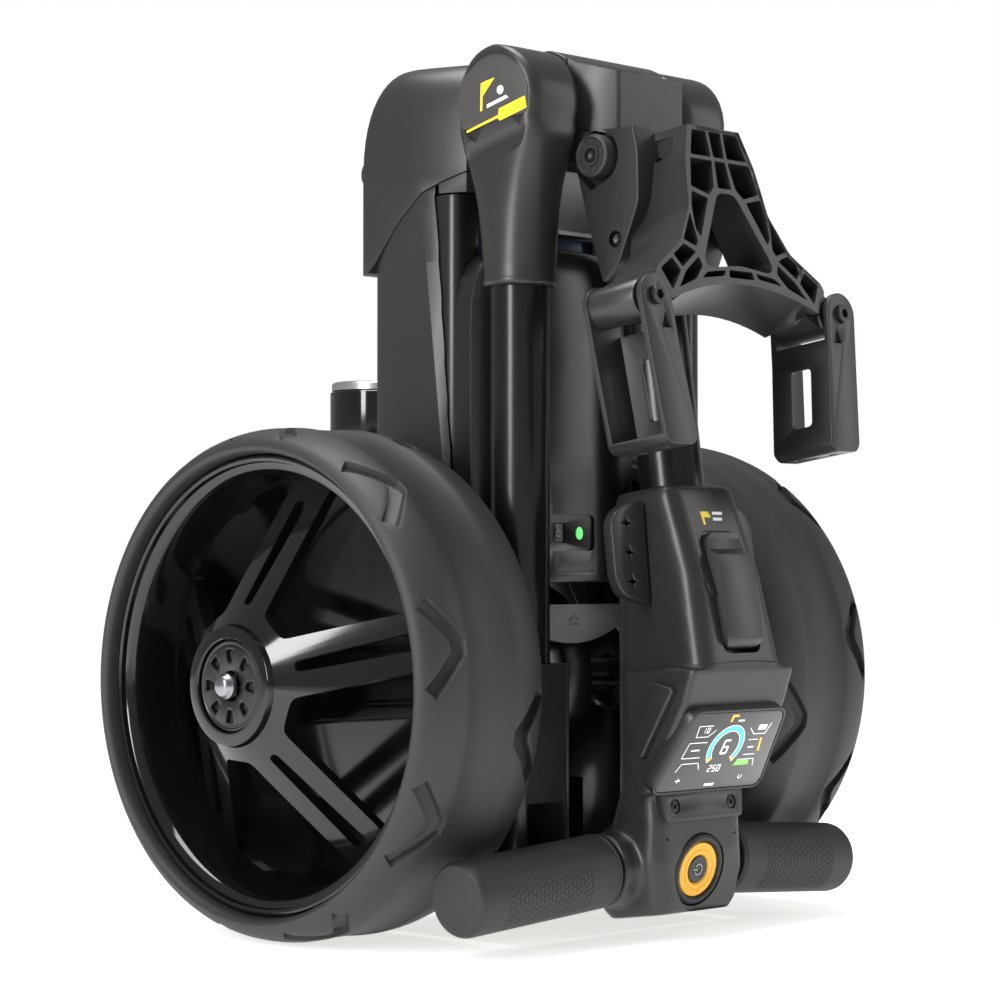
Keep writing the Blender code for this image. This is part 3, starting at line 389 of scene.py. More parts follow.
# ------------------------------------------------------------------ drive rims
# Injection-moulded rims in piano black: a barrel with a rolled lip, a dished face of five spokes,
# each split by a tapering slot, and a hub boss that takes the cap.
PIANO_BLACK = finish("piano_black", (0.0035, 0.0035, 0.0037), (0.0055, 0.0055, 0.0055), 0.09, 0.000003,
                     260.0, 0.03)
SPOKES, FIRST_SPOKE = 5, 93.4
rim = lathe("rim", [
    (0.1218, 0.1015), (0.1218, 0.1790), (0.1288, 0.1800), (0.1290, 0.1842), (0.1284, 0.1852),
    (0.1272, 0.1855), (0.1256, 0.1848), (0.1248, 0.1822), (0.1232, 0.1812), (0.1212, 0.1806),
    (0.1192, 0.1780), (0.1180, 0.1700), (0.1165, 0.1500), (0.0345, 0.2045), (0.0334, 0.2080),
    (0.0325, 0.2085), (0.0268, 0.2085), (0.0262, 0.2078), (0.0262, 0.2010), (0.0084, 0.2010),
    (0.0084, 0.1015), (0.0240, 0.1015), (0.0240, 0.1930), (0.0330, 0.1975),
    (0.1165, 0.1430), (0.1165, 0.1015)], HUB, 'X', 120)


def polar(turn, along, across):
    """A point beside a spoke's middle line."""
    turn = math.radians(turn)
    return (HUB.y + math.cos(turn) * along - math.sin(turn) * across,
            HUB.z + math.sin(turn) * along + math.cos(turn) * across)


gaps = []
for n in range(SPOKES):
    turn, following = FIRST_SPOKE + 360.0 * n / SPOKES, FIRST_SPOKE + 360.0 * (n + 1) / SPOKES
    slot = [polar(turn, 0.0450, -0.0030), polar(turn, 0.1035, -0.0052),
            polar(turn, 0.1035, 0.0052), polar(turn, 0.0450, 0.0030)]
    swing = 8.3
    wide = arc((HUB.y, HUB.z), 0.1150, turn + swing, following - swing, 8)
    wide += [polar(following, 0.0400, -0.0165), polar(turn, 0.0400, 0.0165)]
    gaps.append(prism("slot", eased(slot, 0.0028), 'X', 0.1280, 0.2150))
    gaps.append(prism("gap", eased(wide, 0.0030, 3), 'X', 0.1280, 0.2150))
carve(rim, joined("gaps", gaps))
carve(rim, lathe("web", oblong(0.0200, 0.1035, 0.1190, 0.1065), HUB), operation='UNION')
round_edges(rim, 0.0009, 3, 30.0)
rim.name = "right_rim_moulding"
place(copy_of(rim, "left_rim_moulding", OPPOSITE), "left_wheel", "gloss_black", PIANO_BLACK, "left_rim")
place(rim, "right_wheel", "gloss_black", PIANO_BLACK, "right_rim")

# ------------------------------------------------------------------ hub caps and bolts
# Push-in caps with eight radial pockets round a domed, plated bolt that holds the wheel on its axle.
CHARCOAL = finish("charcoal_moulding", (0.0135, 0.0130, 0.0124), (0.0190, 0.0183, 0.0175), 0.36, 0.00004,
                  1500.0, 0.07)
BLACK = finish("black_moulding", (0.0050, 0.0050, 0.0050), (0.0085, 0.0084, 0.0082), 0.30, 0.00003, 1500.0,
               0.07)
PLATED = finish("plated_steel", (0.22, 0.22, 0.24), (0.30, 0.30, 0.32), 0.30, 0.000008, 500.0, 0.08,
                Metallic=1.0)
cap = lathe("cap", [(0.0085, 0.2016), (0.0085, 0.2066), (0.0112, 0.2072), (0.0220, 0.2072), (0.0226, 0.2064),
                    (0.0236, 0.2064), (0.0242, 0.2070), (0.0252, 0.2066), (0.0257, 0.2054),
                    (0.0257, 0.2016)], HUB)
pockets = []
for n in range(8):
    outline = [polar(45.0 * n, 0.0132, -0.0020), polar(45.0 * n, 0.0204, -0.0034),
               polar(45.0 * n, 0.0204, 0.0034), polar(45.0 * n, 0.0132, 0.0020)]
    pockets.append(prism("pocket", eased(outline, 0.0018), 'X', 0.2040, 0.2100))
carve(cap, joined("pockets", pockets))
round_edges(cap, 0.0004, 2, 40.0)
bolt = lathe("bolt", [(0.0002, 0.1970), (0.0040, 0.1970), (0.0040, 0.2076), (0.0066, 0.2078),
                      (0.0072, 0.2084), (0.0072, 0.2104), (0.0064, 0.2112), (0.0060, 0.2126),
                      (0.0050, 0.2140), (0.0034, 0.2147), (0.0002, 0.2150)], HUB, 'X', 48)
for side, label in SIDES:
    matrix = OPPOSITE if side < 0 else Matrix.Identity(4)
    place(copy_of(cap, f"{label}_hub_cap_moulding", matrix), f"{label}_wheel", "satin_plastic", BLACK,
          f"{label}_hub_cap")
    place(copy_of(bolt, f"{label}_hub_bolt_head", matrix), f"{label}_wheel", "steel", PLATED,
          f"{label}_hub_bolt")
bpy.data.objects.remove(cap, do_unlink=True)
bpy.data.objects.remove(bolt, do_unlink=True)

# ------------------------------------------------------------------ axle, gears, gearbox and motor
# A steel axle and bronze gear inside a two-part gearbox, driven by a vertical motor whose black can
# carries a turned metal end cap. The parts are clipped and screwed together behind the body.


def recast(node, edge=0.0):
    """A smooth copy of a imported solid: facets merged, flats joined, edges rounded."""
    made = bpy.data.objects.new(f"{node}_part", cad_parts[node].data.copy())
    bpy.context.scene.collection.objects.link(made)
    only(made)
    bpy.ops.object.mode_set(mode='EDIT')
    bpy.ops.mesh.select_all(action='SELECT')
    bpy.ops.mesh.remove_doubles(threshold=0.00001)
    bpy.ops.mesh.dissolve_limited(angle_limit=math.radians(0.5))
    bpy.ops.object.mode_set(mode='OBJECT')
    return round_edges(made, edge) if edge else made


STEEL = finish("brushed_steel", (0.36, 0.36, 0.37), (0.52, 0.52, 0.53), 0.30, 0.00001, 500.0, 0.10,
               (0.08, 1.0, 1.0), Metallic=1.0)
BRONZE = finish("gear_bronze", (0.34, 0.22, 0.09), (0.46, 0.31, 0.14), 0.34, 0.00002, 700.0, 0.08,
                Metallic=1.0)
place(recast("axle_shaft", 0.0006), "axle", "steel", STEEL, "axle_shaft")
place(recast("axle_gear", 0.0003), "axle", "bronze", BRONZE, "axle_gear")
place(recast("idler_gear", 0.0002), "idler", "steel", STEEL, "idler_gear")
place(recast("motor_rotor"), "rotor", "steel", STEEL, "motor_rotor")
for side, label in SIDES:
    place(recast(f"gearbox_{label}_half", 0.0006), "chassis", "satin_plastic", BLACK,
          f"gearbox_{label}_half")
MOTOR = (0.0, 0.100, 0.0)
can = lathe("motor_can_shell", [
    (0.0050, 0.2300), (0.0285, 0.2300), (0.0302, 0.2306), (0.0310, 0.2326), (0.0310, 0.3208),
    (0.0304, 0.3214), (0.0240, 0.3214), (0.0240, 0.2330), (0.0050, 0.2330)], MOTOR, 'Z', 72)
place(can, "chassis", "gloss_black", PIANO_BLACK, "motor_can")
end_cap = lathe("motor_end_ring", [
    (0.0292, 0.3218), (0.0300, 0.3222), (0.0300, 0.3262), (0.0294, 0.3270), (0.0284, 0.3275),
    (0.0235, 0.3275), (0.0228, 0.3270), (0.0224, 0.3265), (0.0045, 0.3265), (0.0045, 0.3218)], MOTOR,
    'Z', 72)
place(end_cap, "chassis", "steel", STEEL, "motor_end_cap")

# ------------------------------------------------------------------ base, sockets, feet and frame tubes
# A moulded base on two rubber feet carries tube sockets with windows in their webs. The aluminium frame
# tubes are powder coated dark brown-black and pushed into the sockets.
SOFT_RUBBER = finish("soft_rubber", (0.0110, 0.0107, 0.0102), (0.0160, 0.0156, 0.0150), 0.55, 0.00006,
                     1100.0, 0.05)
TUBE_COAT = finish("tube_coat", (0.0068, 0.0056, 0.0052), (0.0115, 0.0095, 0.0088), 0.24, 0.000008, 1500.0,
                   0.05, (1.0, 1.0, 0.1), Metallic=0.35)
TUBE_X, TUBE_Y = 0.065, -0.087
place(recast("base_plate", 0.0008), "chassis", "satin_plastic", BLACK, "base_plate")
for side, label in SIDES:
    x = side * TUBE_X
    low, high = sorted((side * 0.0425, side * 0.0875))
    socket = prism("socket", eased(oblong(low, -0.1070, high, -0.0640), 0.0060), 'Z', 0.0394, 0.1560)
    carve(socket, rod("bore", 0.0175, 0.1000, 0.1700, (x, TUBE_Y, 0), 'Z', 48),
          prism("window", eased(oblong(x - 0.0150, 0.0450, x + 0.0150, 0.0780), 0.0030), 'Y', -0.1200,
                -0.0700),
          prism("side_window", eased(oblong(-0.1010, 0.0450, -0.0760, 0.0780), 0.0030), 'X',
                *sorted((side * 0.0800, side * 0.0900))))
    round_edges(socket, 0.0012)
    socket.name = f"{label}_socket_moulding"
    place(socket, "chassis", "satin_plastic", CHARCOAL, f"{label}_tube_socket")
    tube = lathe(f"{label}_frame_tube_coated", [(0.0170, 0.1005), (0.0170, 0.3990), (0.0150, 0.3990),
                                                (0.0150, 0.1005)],
                 (x, TUBE_Y, 0), 'Z', 64)
    place(tube, "chassis", "tube_paint", TUBE_COAT, f"{label}_frame_tube")
    foot = recast(f"{label}_foot", 0.0010)
    foot.data.transform(Matrix.Translation((0, 0, 0.0394)) @ Matrix.Scale(0.68, 4, (0, 0, 1))
                        @ Matrix.Translation((0, 0, -0.0394)))
    place(foot, "chassis", "soft_rubber", SOFT_RUBBER, f"{label}_foot")
place(recast("fold_pin", 0.0005), "chassis", "steel", STEEL, "fold_pin")

# ------------------------------------------------------------------ fold knuckles
# A moulded knuckle grips the top of each frame tube: a tapering neck with a rolled rim, a rounded head
# over the fold pin, and a snap-in disc above a scooped thumb recess.
PIVOT = Vector((0.0, -0.085, 0.476))
HEAD_RADIUS, KNUCKLE_OUT = 0.0320, 0.0865
BADGE_GREY = finish("badge_grey", (0.040, 0.039, 0.038), (0.052, 0.051, 0.050), 0.42, 0.00003, 1500.0, 0.05)
BADGE_YELLOW = finish("badge_yellow", (0.86, 0.62, 0.020), (0.95, 0.72, 0.035), 0.40, 0.00001, 1200.0, 0.05)
BADGE_WHITE = finish("badge_white", (0.78, 0.78, 0.77), (0.86, 0.86, 0.85), 0.40, 0.00001, 1200.0, 0.05)


def mark(name, outlines, thick, matrix):
    """Thin printed or inlaid shapes in a plane, joined into one piece."""
    made = joined(name, [prism(name, outline, 'Z', 0.0, thick) for outline in outlines])
    made.data.transform(matrix)
    only(made)
    bpy.ops.object.mode_set(mode='EDIT')
    return closed(made)


neck = [(0.3710, 0.0196, 0.0196, 2.0), (0.3714, 0.0206, 0.0206, 2.0), (0.3724, 0.0212, 0.0212, 2.0),
        (0.3738, 0.0213, 0.0213, 2.0), (0.3750, 0.0209, 0.0209, 2.0), (0.3762, 0.0204, 0.0205, 2.0),
        (0.3850, 0.0205, 0.0208, 2.1), (0.4000, 0.0207, 0.0216, 2.2), (0.4150, 0.0209, 0.0228, 2.4),
        (0.4280, 0.0211, 0.0245, 2.8), (0.4400, 0.0213, 0.0270, 3.4), (0.4500, 0.0214, 0.0295, 4.2),
        (0.4600, 0.0215, 0.0314, 5.2)]
for degrees in (-20, -8, 4, 16, 28, 40, 50, 59, 67, 74, 80, 85):
    turn = math.radians(degrees)
    neck.append((PIVOT.z + HEAD_RADIUS * math.sin(turn),
                 0.0215 - 0.006 * max(math.sin(turn) - 0.8, 0.0) ** 2 * 9, HEAD_RADIUS * math.cos(turn),
                 6.5))
sections = []
for z, half_x, half_y, power in sorted(neck):
    middle = TUBE_Y + 0.002 * min((z - 0.371) / 0.1, 1.0)
    ring = []
    for i in range(48):
        turn = math.tau * i / 48
        c, s = math.cos(turn), math.sin(turn)
        ring.append((TUBE_X + half_x * math.copysign(abs(c) ** (2 / power), c),
                     middle + half_y * math.copysign(abs(s) ** (2 / power), s), z))
    sections.append(ring)
knuckle = loft("knuckle", sections)
seat_x = KNUCKLE_OUT - 0.0018
carve(knuckle,
      rod("tube_bore", 0.0174, 0.3600, 0.4000, (TUBE_X, TUBE_Y, 0), 'Z', 48),
      rod("pin_bore", 0.0063, 0.0, 0.0840, PIVOT, 'X', 32),
      rod("disc_seat", 0.0266, seat_x, 0.1000, PIVOT, 'X', 96))
scoop = lathe("scoop", [(0.0001, -0.0300), (0.0100, -0.0280), (0.0128, -0.0200), (0.0128, 0.0200),
                        (0.0100, 0.0280), (0.0001, 0.0300)], (0, 0, 0), 'Y', 48)
scoop.data.transform(Matrix.Translation((KNUCKLE_OUT + 0.0092, -0.0850, 0.4500)) @ Matrix.Rotation(
    math.radians(-14), 4, 'X'))
carve(knuckle, scoop)
round_edges(knuckle, 0.0008, 2, 40.0)
disc = arc((0, 0), 0.0277, -20, 212, 64)
for side, label in SIDES:
    mirror = Matrix.Identity(4) if side > 0 else OPPOSITE
    made = copy_of(knuckle, f"{label}_knuckle_moulding", mirror)
    place(made, "chassis", "satin_plastic", CHARCOAL, f"{label}_knuckle", angle=38.0)
    # the disc's own plane: across is forwards on the left side, backwards on the right
    face = Matrix.Translation((side * seat_x, PIVOT.y, PIVOT.z)) @ Matrix((
        (0, 0, side, 0), (side, 0, 0, 0), (0, 1, 0, 0), (0, 0, 0, 1)))
    plate = mark(f"{label}_badge_disc", [disc], 0.0011, face)
    round_edges(plate, 0.0003)
    place(plate, "chassis", "satin_plastic", BADGE_GREY)
    raised = face @ Matrix.Translation((0, 0, 0.0010))
    tilt = Matrix.Rotation(math.radians(14), 4, 'Z')
    stripe = [[(-0.0236, -0.0099), (0.0246, -0.0099), (0.0246, -0.0135), (0.0030, -0.0135),
               (0.0014, -0.0113), (-0.0236, -0.0113)],
              [(0.0040, -0.0066), (0.0248, -0.0066), (0.0248, -0.0100), (0.0026, -0.0100)]]
    place(mark(f"{label}_badge_stripe", stripe, 0.0002, raised @ tilt), "chassis", "yellow_plastic",
          BADGE_YELLOW)
    flag = [[(-0.0105, -0.0030), (-0.0088, -0.0030), (-0.0045, 0.0125), (-0.0062, 0.0125)],
            [(-0.0040, 0.0125), (-0.0062, 0.0050), (0.0050, 0.0118)]]
    ground = [[(-0.0050, -0.0030), (0.0125, -0.0030), (0.0112, -0.0010), (-0.0045, -0.0010)],
              arc((0.0075, 0.0035), 0.0026, 0, 345, 20)]
    place(mark(f"{label}_badge_flag", flag, 0.0002, raised @ tilt), "chassis", "yellow_plastic",
          BADGE_YELLOW)
    place(mark(f"{label}_badge_ground", ground, 0.0002, raised @ tilt), "chassis", "satin_plastic",
          BADGE_WHITE)
bpy.data.objects.remove(knuckle, do_unlink=True)

# ------------------------------------------------------------------ body shell and hood
# The tall body is a thin plastic shell in two parts: a rear shell and a hood that closes on it
# along a slanting seam. Long crisp creases run down each flank.


def flank_rings(heights, grow=0.0, square=False):
    """Level sections of the body: flat back, two creases on each flank, chamfered front corners."""
    rings = []
    for z in heights:
        rise = min(max((z - 0.440) / 0.064, 0.0), 1.0)
        draw = 1 - math.sqrt(max(1 - rise ** 2.6, 0.0))
        lean = (z - 0.24) / 0.24
        back, front = 0.0370 - 0.022 * draw + grow, -0.0440 + 0.016 * draw - grow
        wide = 0.0750 - 0.022 * draw + grow
        thin_crease, front_crease = -0.0080 + 0.020 * lean, -0.0360 + 0.029 * lean
        thin_crease, front_crease = (y * (1 - 0.55 * draw) for y in (thin_crease, front_crease))
        if square:
            z, back = 0.440 + (z - 0.440) * (1.075 if z > 0.440 else 1.0), back + 0.0006
        else:
            back -= 0.0060
        turn_in = ([(wide - 0.0003, back - 0.0080), (wide - 0.0008, back - 0.0034),
                    (wide - 0.0032, back - 0.0006)]
                   if square else
                   [(wide - 0.0005, back - 0.0140), (wide - 0.0022, back - 0.0070),
                    (wide - 0.0070, back - 0.0018)])
        half = [(0.0, front), (wide - 0.0180, front), (wide - 0.0110, front + 0.0016),
                (wide - 0.0020, front_crease), (wide - 0.0012, (front_crease + thin_crease) / 2),
                (wide, thin_crease), *turn_in, (wide - 0.0140, back), (0.0, back)]
        rings.append([(x, y, z) for x, y in half] + [(-x, y, z) for x, y in reversed(half[1:-1])])
    return rings


SEAM = [(-0.0700, 0.4462), (-0.0560, 0.4446), (-0.0440, 0.4420), (-0.0290, 0.4372), (-0.0143, 0.4308),
        (0.0028, 0.4152), (0.0150, 0.4010), (0.0250, 0.3900), (0.0300, 0.3862), (0.0360, 0.3850),
        (0.0600, 0.3840)]
shell = loft("rear_shell_moulding", flank_rings([0.2420, 0.2700, 0.3000, 0.3300, 0.3600, 0.3900, 0.4200,
                                                 0.4480]))
carve(shell, prism("above", SEAM + [(0.0600, 0.5300), (-0.0700, 0.5300)], 'X', -0.1, 0.1),
      loft("hollow", [[(x, y, z) for x, y, _ in ring] for ring, z in
                      ((flank_rings([0.3400], -0.0030)[0], z) for z in (0.2450, 0.4600))]),
      prism("battery_bay", oblong(-0.0600, 0.2300, 0.0050, 0.4300), 'X', -0.0702, 0.0702))
round_edges(shell, 0.0007, 3, 14.0)
place(shell, "chassis", "satin_plastic", CHARCOAL, "rear_shell", angle=50.0)
crown = [0.3500, 0.3800, 0.4100, 0.4400, 0.4480, 0.4560, 0.4640, 0.4710, 0.4775, 0.4830, 0.4880, 0.4925,
         0.4960, 0.4990, 0.5012, 0.5028, 0.5037, 0.5040]
hood = loft("hood_moulding", flank_rings(crown, 0.0003, True))
carve(hood, prism("below", [(a, b + 0.0007) for a, b in SEAM] + [(0.0600, 0.1000), (-0.0700, 0.1000)],
                  'X', -0.1, 0.1),
      loft("hollow", flank_rings([0.3000, 0.4400, 0.4600, 0.4800, 0.4900, 0.4960], -0.0030)))
FORK = Vector((0.0, 0.047, 0.450))
lug = arc((FORK.y, FORK.z), 0.0095, -90, 90, 24) + [(0.0300, 0.4700), (0.0300, 0.4300)]
for low in (-0.0560, 0.0500):
    carve(hood, prism("lug", lug, 'X', low, low + 0.0060), operation='UNION')
carve(hood, rod("pin_bore", 0.0054, -0.07, 0.07, FORK, 'X', 32))
round_edges(hood, 0.0007, 3, 14.0)
place(hood, "chassis", "satin_plastic", CHARCOAL, "hood", angle=50.0)
BOARD = finish("circuit_board", (0.006, 0.060, 0.020), (0.012, 0.110, 0.036), 0.42, 0.00005, 700.0)
place(recast("control_board", 0.0003), "chassis", "circuit_board", BOARD, "control_board")

# ------------------------------------------------------------------ battery, its cover and controls
# The battery slides in behind a crowned cover with rounded shoulders. A sunk panel low on the cover
# holds the power button and a green charge light.
CELLS = finish("cell_wrap", (0.05, 0.09, 0.16), (0.07, 0.12, 0.20), 0.40)
CHARGE_GREEN = finish("charge_light", (0.10, 0.80, 0.16), (0.16, 0.92, 0.24), 0.30,
                      Emission_Color=(0.16, 0.90, 0.22, 1.0), Emission_Strength=0.8)
ICON_GREY = finish("icon_grey", (0.30, 0.30, 0.30), (0.40, 0.40, 0.39), 0.45)
place(recast("battery_case", 0.0008), "chassis", "satin_plastic", BLACK, "battery_case")
place(recast("battery_cells", 0.0010), "chassis", "grey_plastic", CELLS, "battery_cells")
sections = []
for z, grow in ((0.2020, -0.0030), (0.2030, -0.0012), (0.2060, 0.0), (0.2800, 0.0), (0.3500, 0.0),
                (0.3660, -0.0010), (0.3780, -0.0042), (0.3870, -0.0095), (0.3930, -0.0160),
                (0.3970, -0.0240), (0.3990, -0.0330), (0.4000, -0.0450)):
    half = 0.0700 + grow
    crest = 0.0190 * max(half / 0.0700, 0.2)
    ring = []
    for i in range(31):
        t = 1 - 2 * i / 30
        ring.append((half * t, -0.0520 - crest * (1 - abs(t) ** 2.6) ** 0.9, z))
    sections.append(ring + [(-half, -0.0394, z), (half, -0.0394, z)])
cover = loft("battery_cover_moulding", sections)
panel = eased(oblong(-0.0225, 0.2205, 0.0155, 0.2420), 0.0050, 5)
carve(cover, prism("inside", oblong(-0.0660, -0.0500, 0.0660, -0.0300), 'Z', 0.2060, 0.3700),
      prism("panel", panel, 'Y', -0.0800, -0.0690),
      prism("button_well", eased(oblong(-0.0185, 0.2250, -0.0085, 0.2370), 0.0020), 'Y', -0.0780, -0.0620),
      prism("parting", oblong(0.07, 0.2078, -0.07, 0.2084), 'Y', -0.0800, -0.0705))
round_edges(cover, 0.0006, 2, 30.0)
place(cover, "chassis", "satin_plastic", BLACK, "battery_cover", angle=30.0)
button = prism("power_button_pad", eased(oblong(-0.0181, 0.2254, -0.0089, 0.2366), 0.0020), 'Y', -0.0685,
               -0.0645)
round_edges(button, 0.0005)
place(button, "power_button", "satin_plastic", CHARCOAL, "power_button")
UPRIGHT = Matrix(((1, 0, 0, 0), (0, 0, -1, 0), (0, 1, 0, 0), (0, 0, 0, 1)))


def facing(x, y, z):
    """A plane that faces forwards: its X is the trolley's X, its Y is up."""
    return Matrix.Translation((x, y, z)) @ UPRIGHT


def power_icon(size, line):
    """A broken ring with a short bar in its gap."""
    ring = arc((0, 0), size, 125, 415, 28) + arc((0, 0), size - line, 415, 125, 28)
    return [ring, [(-line / 2, size * 0.15), (line / 2, size * 0.15), (line / 2, size * 1.2),
                   (-line / 2, size * 1.2)]]


icon = mark("power_icon", power_icon(0.0020, 0.0005), 0.0001, facing(-0.0135, -0.0685, 0.2308))
place(icon, "power_button", "grey_plastic", ICON_GREY)
lens = mark("charge_lens", [[(a * 1.0, b * 1.35) for a, b in arc((0, 0), 0.0028, 0, 345, 24)]], 0.0009,
            facing(0.0037, -0.0689, 0.2310))
round_edges(lens, 0.0003)
place(lens, "chassis", "satin_plastic", CHARGE_GREEN)

# ------------------------------------------------------------------ release plate
# A grey plastic pull plate with a metallic fleck, its lower edge curved, with an arrow pressed in it.
FLECK = finish("fleck_moulding", (0.075, 0.074, 0.071), (0.19, 0.19, 0.18), 0.44, 0.00004, 2600.0, 0.10)
plate = prism("release_plate_pull", eased([(0.0470, 0.1700), (0.0470, 0.1890), (-0.0470, 0.1890),
                                           (-0.0470, 0.1700)]
              + arc((0, 0.2500), 0.0840, -118, -62, 24), 0.0008, 2), 'Y', -0.0680, -0.0640)
arrow_line = [(-0.0040, 0.0), (0.0, 0.0036), (0.0040, 0.0), (0.0033, -0.0006), (0.0, 0.0024),
              (-0.0033, -0.0006)]
arrow_cut = mark("arrow_cut", [arrow_line, oblong(-0.0040, -0.0030, 0.0040, -0.0022)], 0.0010,
                 facing(0.0, -0.0674, 0.1800))
carve(plate, arrow_cut)
round_edges(plate, 0.0004)
place(plate, "release_plate", "fleck_plastic", FLECK, "release_plate")

# ------------------------------------------------------------------ hinge block, bumpers and latch
# The block at the head of the stem is one thick moulding with a sunk top panel, a teardrop recess on
# each cheek for a ribbed rubber roller, and screw bosses. A light grey latch hooks round the pin.
DARK_STEEL = finish("blackened_steel", (0.020, 0.020, 0.021), (0.032, 0.032, 0.033), 0.36, 0.00002, 900.0,
                    0.08, Metallic=0.6)
STEM_LEAN = -8
STEM = Matrix.Translation(PIVOT) @ Matrix.Rotation(math.radians(STEM_LEAN), 4, 'X')
STEM_TUBE_AT, STEM_TUBE_RADIUS, STEM_TUBE_BORE = (0, -0.0292, 0), 0.0185, 0.0189


def leaned(made):
    """Turn a piece modelled along the stem into its place."""
    made.data.transform(STEM)
    return made


def on_stem(y, z):
    """A point of the side view, taken into the stem's own lines."""
    return tuple((STEM.inverted() @ Vector((0, y, z))).yz)


side_view = [(-0.0620, 0.5030), (-0.0760, 0.5085), (-0.0890, 0.5100), (-0.1000, 0.5050), (-0.1050, 0.5010),
             (-0.1460, 0.4905), (-0.1495, 0.4860), (-0.1520, 0.4650), (-0.1570, 0.4440), (-0.1575, 0.4160),
             (-0.1430, 0.3820), (-0.1310, 0.3700), (-0.1180, 0.4100), (-0.1090, 0.4420), (-0.0850, 0.4440),
             (-0.0560, 0.4700)]
block = prism("hinge_block_moulding", eased([on_stem(*point) for point in side_view], 0.0050, 4), 'X',
              -0.0428, 0.0428)
round_edges(block, 0.0034, 4, 60.0)
roller = on_stem(-0.1270, 0.4440)
low_screw = on_stem(-0.1400, 0.3960)
tear = arc(roller, 0.0152, 30, 250, 28) + [(roller[0] + 0.0080, roller[1] - 0.0180),
                                           (roller[0] + 0.0170, roller[1] - 0.0060)]
carve(block, rod("pin_bore", 0.0064, -0.05, 0.05, (0, 0, 0), 'X', 32),
      rod("tube_bore", STEM_TUBE_BORE, -0.2, -0.0696, STEM_TUBE_AT, 'Z', 64))
for side, label in SIDES:
    carve(block, prism("tear", tear, 'X', *sorted((side * 0.0340, side * 0.0500))),
          rod("screw_well", 0.0048, side * 0.0380, side * 0.0500, (0, *low_screw), 'X', 32))
panel_top = prism("panel_top", eased([(-0.0220, -0.1030), (0.0220, -0.1030), (0.0200, -0.1240),
                                      (-0.0200, -0.1240)],
                                     0.0060), 'Z', 0.0, 0.03)
panel_top.data.transform(STEM.inverted() @ Matrix.Translation((0, 0, 0.4965)) @ Matrix.Translation(
    (0, -0.105, 0)) @ Matrix.Rotation(math.radians(14.5), 4, 'X') @ Matrix.Translation((0, 0.105, 0)))
carve(block, panel_top)
slot_front = prism("slot_front", eased([(-0.0225, -0.0280), (0.0000, -0.0280), (0.0000, 0.0020),
                                        (-0.0190, 0.0020)],
                                       0.0040), 'Y', -0.0800, -0.0610)
carve(block, slot_front)
narrow = [prism("narrow", outline, 'Z', 0.4590, 0.5300) for outline in (
    [(0.0400, -0.1010), (0.0600, -0.1010), (0.0600, -0.1700), (0.0270, -0.1700), (0.0270, -0.1260)],
    [(-0.0400, -0.1010), (-0.0270, -0.1260), (-0.0270, -0.1700), (-0.0600, -0.1700), (-0.0600, -0.1010)],
    oblong(-0.0600, -0.1300, 0.0600, -0.1700))]
for tool in narrow:
    tool.data.transform(STEM.inverted())
carve(block, *narrow)
place(leaned(block), "stem", "satin_plastic", CHARCOAL, "hinge_block", angle=38.0)
for side, label in SIDES:
    at = (0, *roller)
    wheel = lathe("roller", [(0.0035, side * 0.0344), (0.0116, side * 0.0344), (0.0124, side * 0.0352),
                             (0.0125, side * 0.0470), (0.0120, side * 0.0486), (0.0106, side * 0.0494),
                             (0.0098, side * 0.0484), (0.0062, side * 0.0484), (0.0058, side * 0.0495),
                             (0.0044, side * 0.0495), (0.0040, side * 0.0470), (0.0035, side * 0.0470)], at,
                  'X', 64)
    ribs = [prism("rib", [(at[1] + math.cos(math.tau * (n + w) / 10) * r,
                           at[2] + math.sin(math.tau * (n + w) / 10) * r)
                          for r, w in ((0.0068, -0.16), (0.0096, -0.16), (0.0096, 0.16), (0.0068, 0.16))],
                  'X', *sorted((side * 0.0470, side * 0.0488))) for n in range(10)]
    carve(wheel, joined("ribs", ribs), operation='UNION')
    wheel.name = f"{label}_bumper_roller"
    place(leaned(wheel), "stem", "soft_rubber", SOFT_RUBBER, f"{label}_bumper")
    screw = lathe(f"{label}_roller_screw", [(0.0001, side * 0.0450), (0.0036, side * 0.0450),
                                            (0.0036, side * 0.0474), (0.0028, side * 0.0482),
                                            (0.0012, side * 0.0478), (0.0001, side * 0.0470)],
                  at, 'X', 32)
    place(leaned(screw), "stem", "steel", DARK_STEEL)
    screw = lathe(f"{label}_block_screw", [(0.0001, side * 0.0384), (0.0040, side * 0.0384),
                                           (0.0040, side * 0.0398), (0.0030, side * 0.0408),
                                           (0.0001, side * 0.0396)], (0, *low_screw), 'X', 32)
    place(leaned(screw), "stem", "steel", DARK_STEEL)
LIGHT_GREY = finish("latch_grey", (0.40, 0.39, 0.37), (0.50, 0.49, 0.47), 0.50, 0.00008, 1800.0, 0.06)
latch = prism("fold_latch_hook", arc((-0.0060, -0.0560), 0.0190, -75, 85, 28)
              + arc((-0.0150, -0.0560), 0.0210, 60, -50, 24), 'X', -0.0425, 0.0425)
round_edges(latch, 0.0012, 3)
place(leaned(latch), "fold_latch", "grey_plastic", LIGHT_GREY, "fold_latch")

# ------------------------------------------------------------------ stem tube and bag bracket
# The bracket that the bag leans on is one deep ribbed moulding: a shield of open cells round a
# window, with curved side walls that reach back round the hinge block.
tube = lathe("stem_tube_blank", oblong(0.0172, -0.3600, STEM_TUBE_RADIUS, -0.0700), STEM_TUBE_AT, 'Z', 96)
place(leaned(tube), "stem", "tube_paint", TUBE_COAT, "stem_tube")
ARM_BOLT = Vector((0.081, -0.0985, -0.134))


def shield_front(z):
    """How far forward the ribbed face stands."""
    return -0.0851 + 0.1 * z


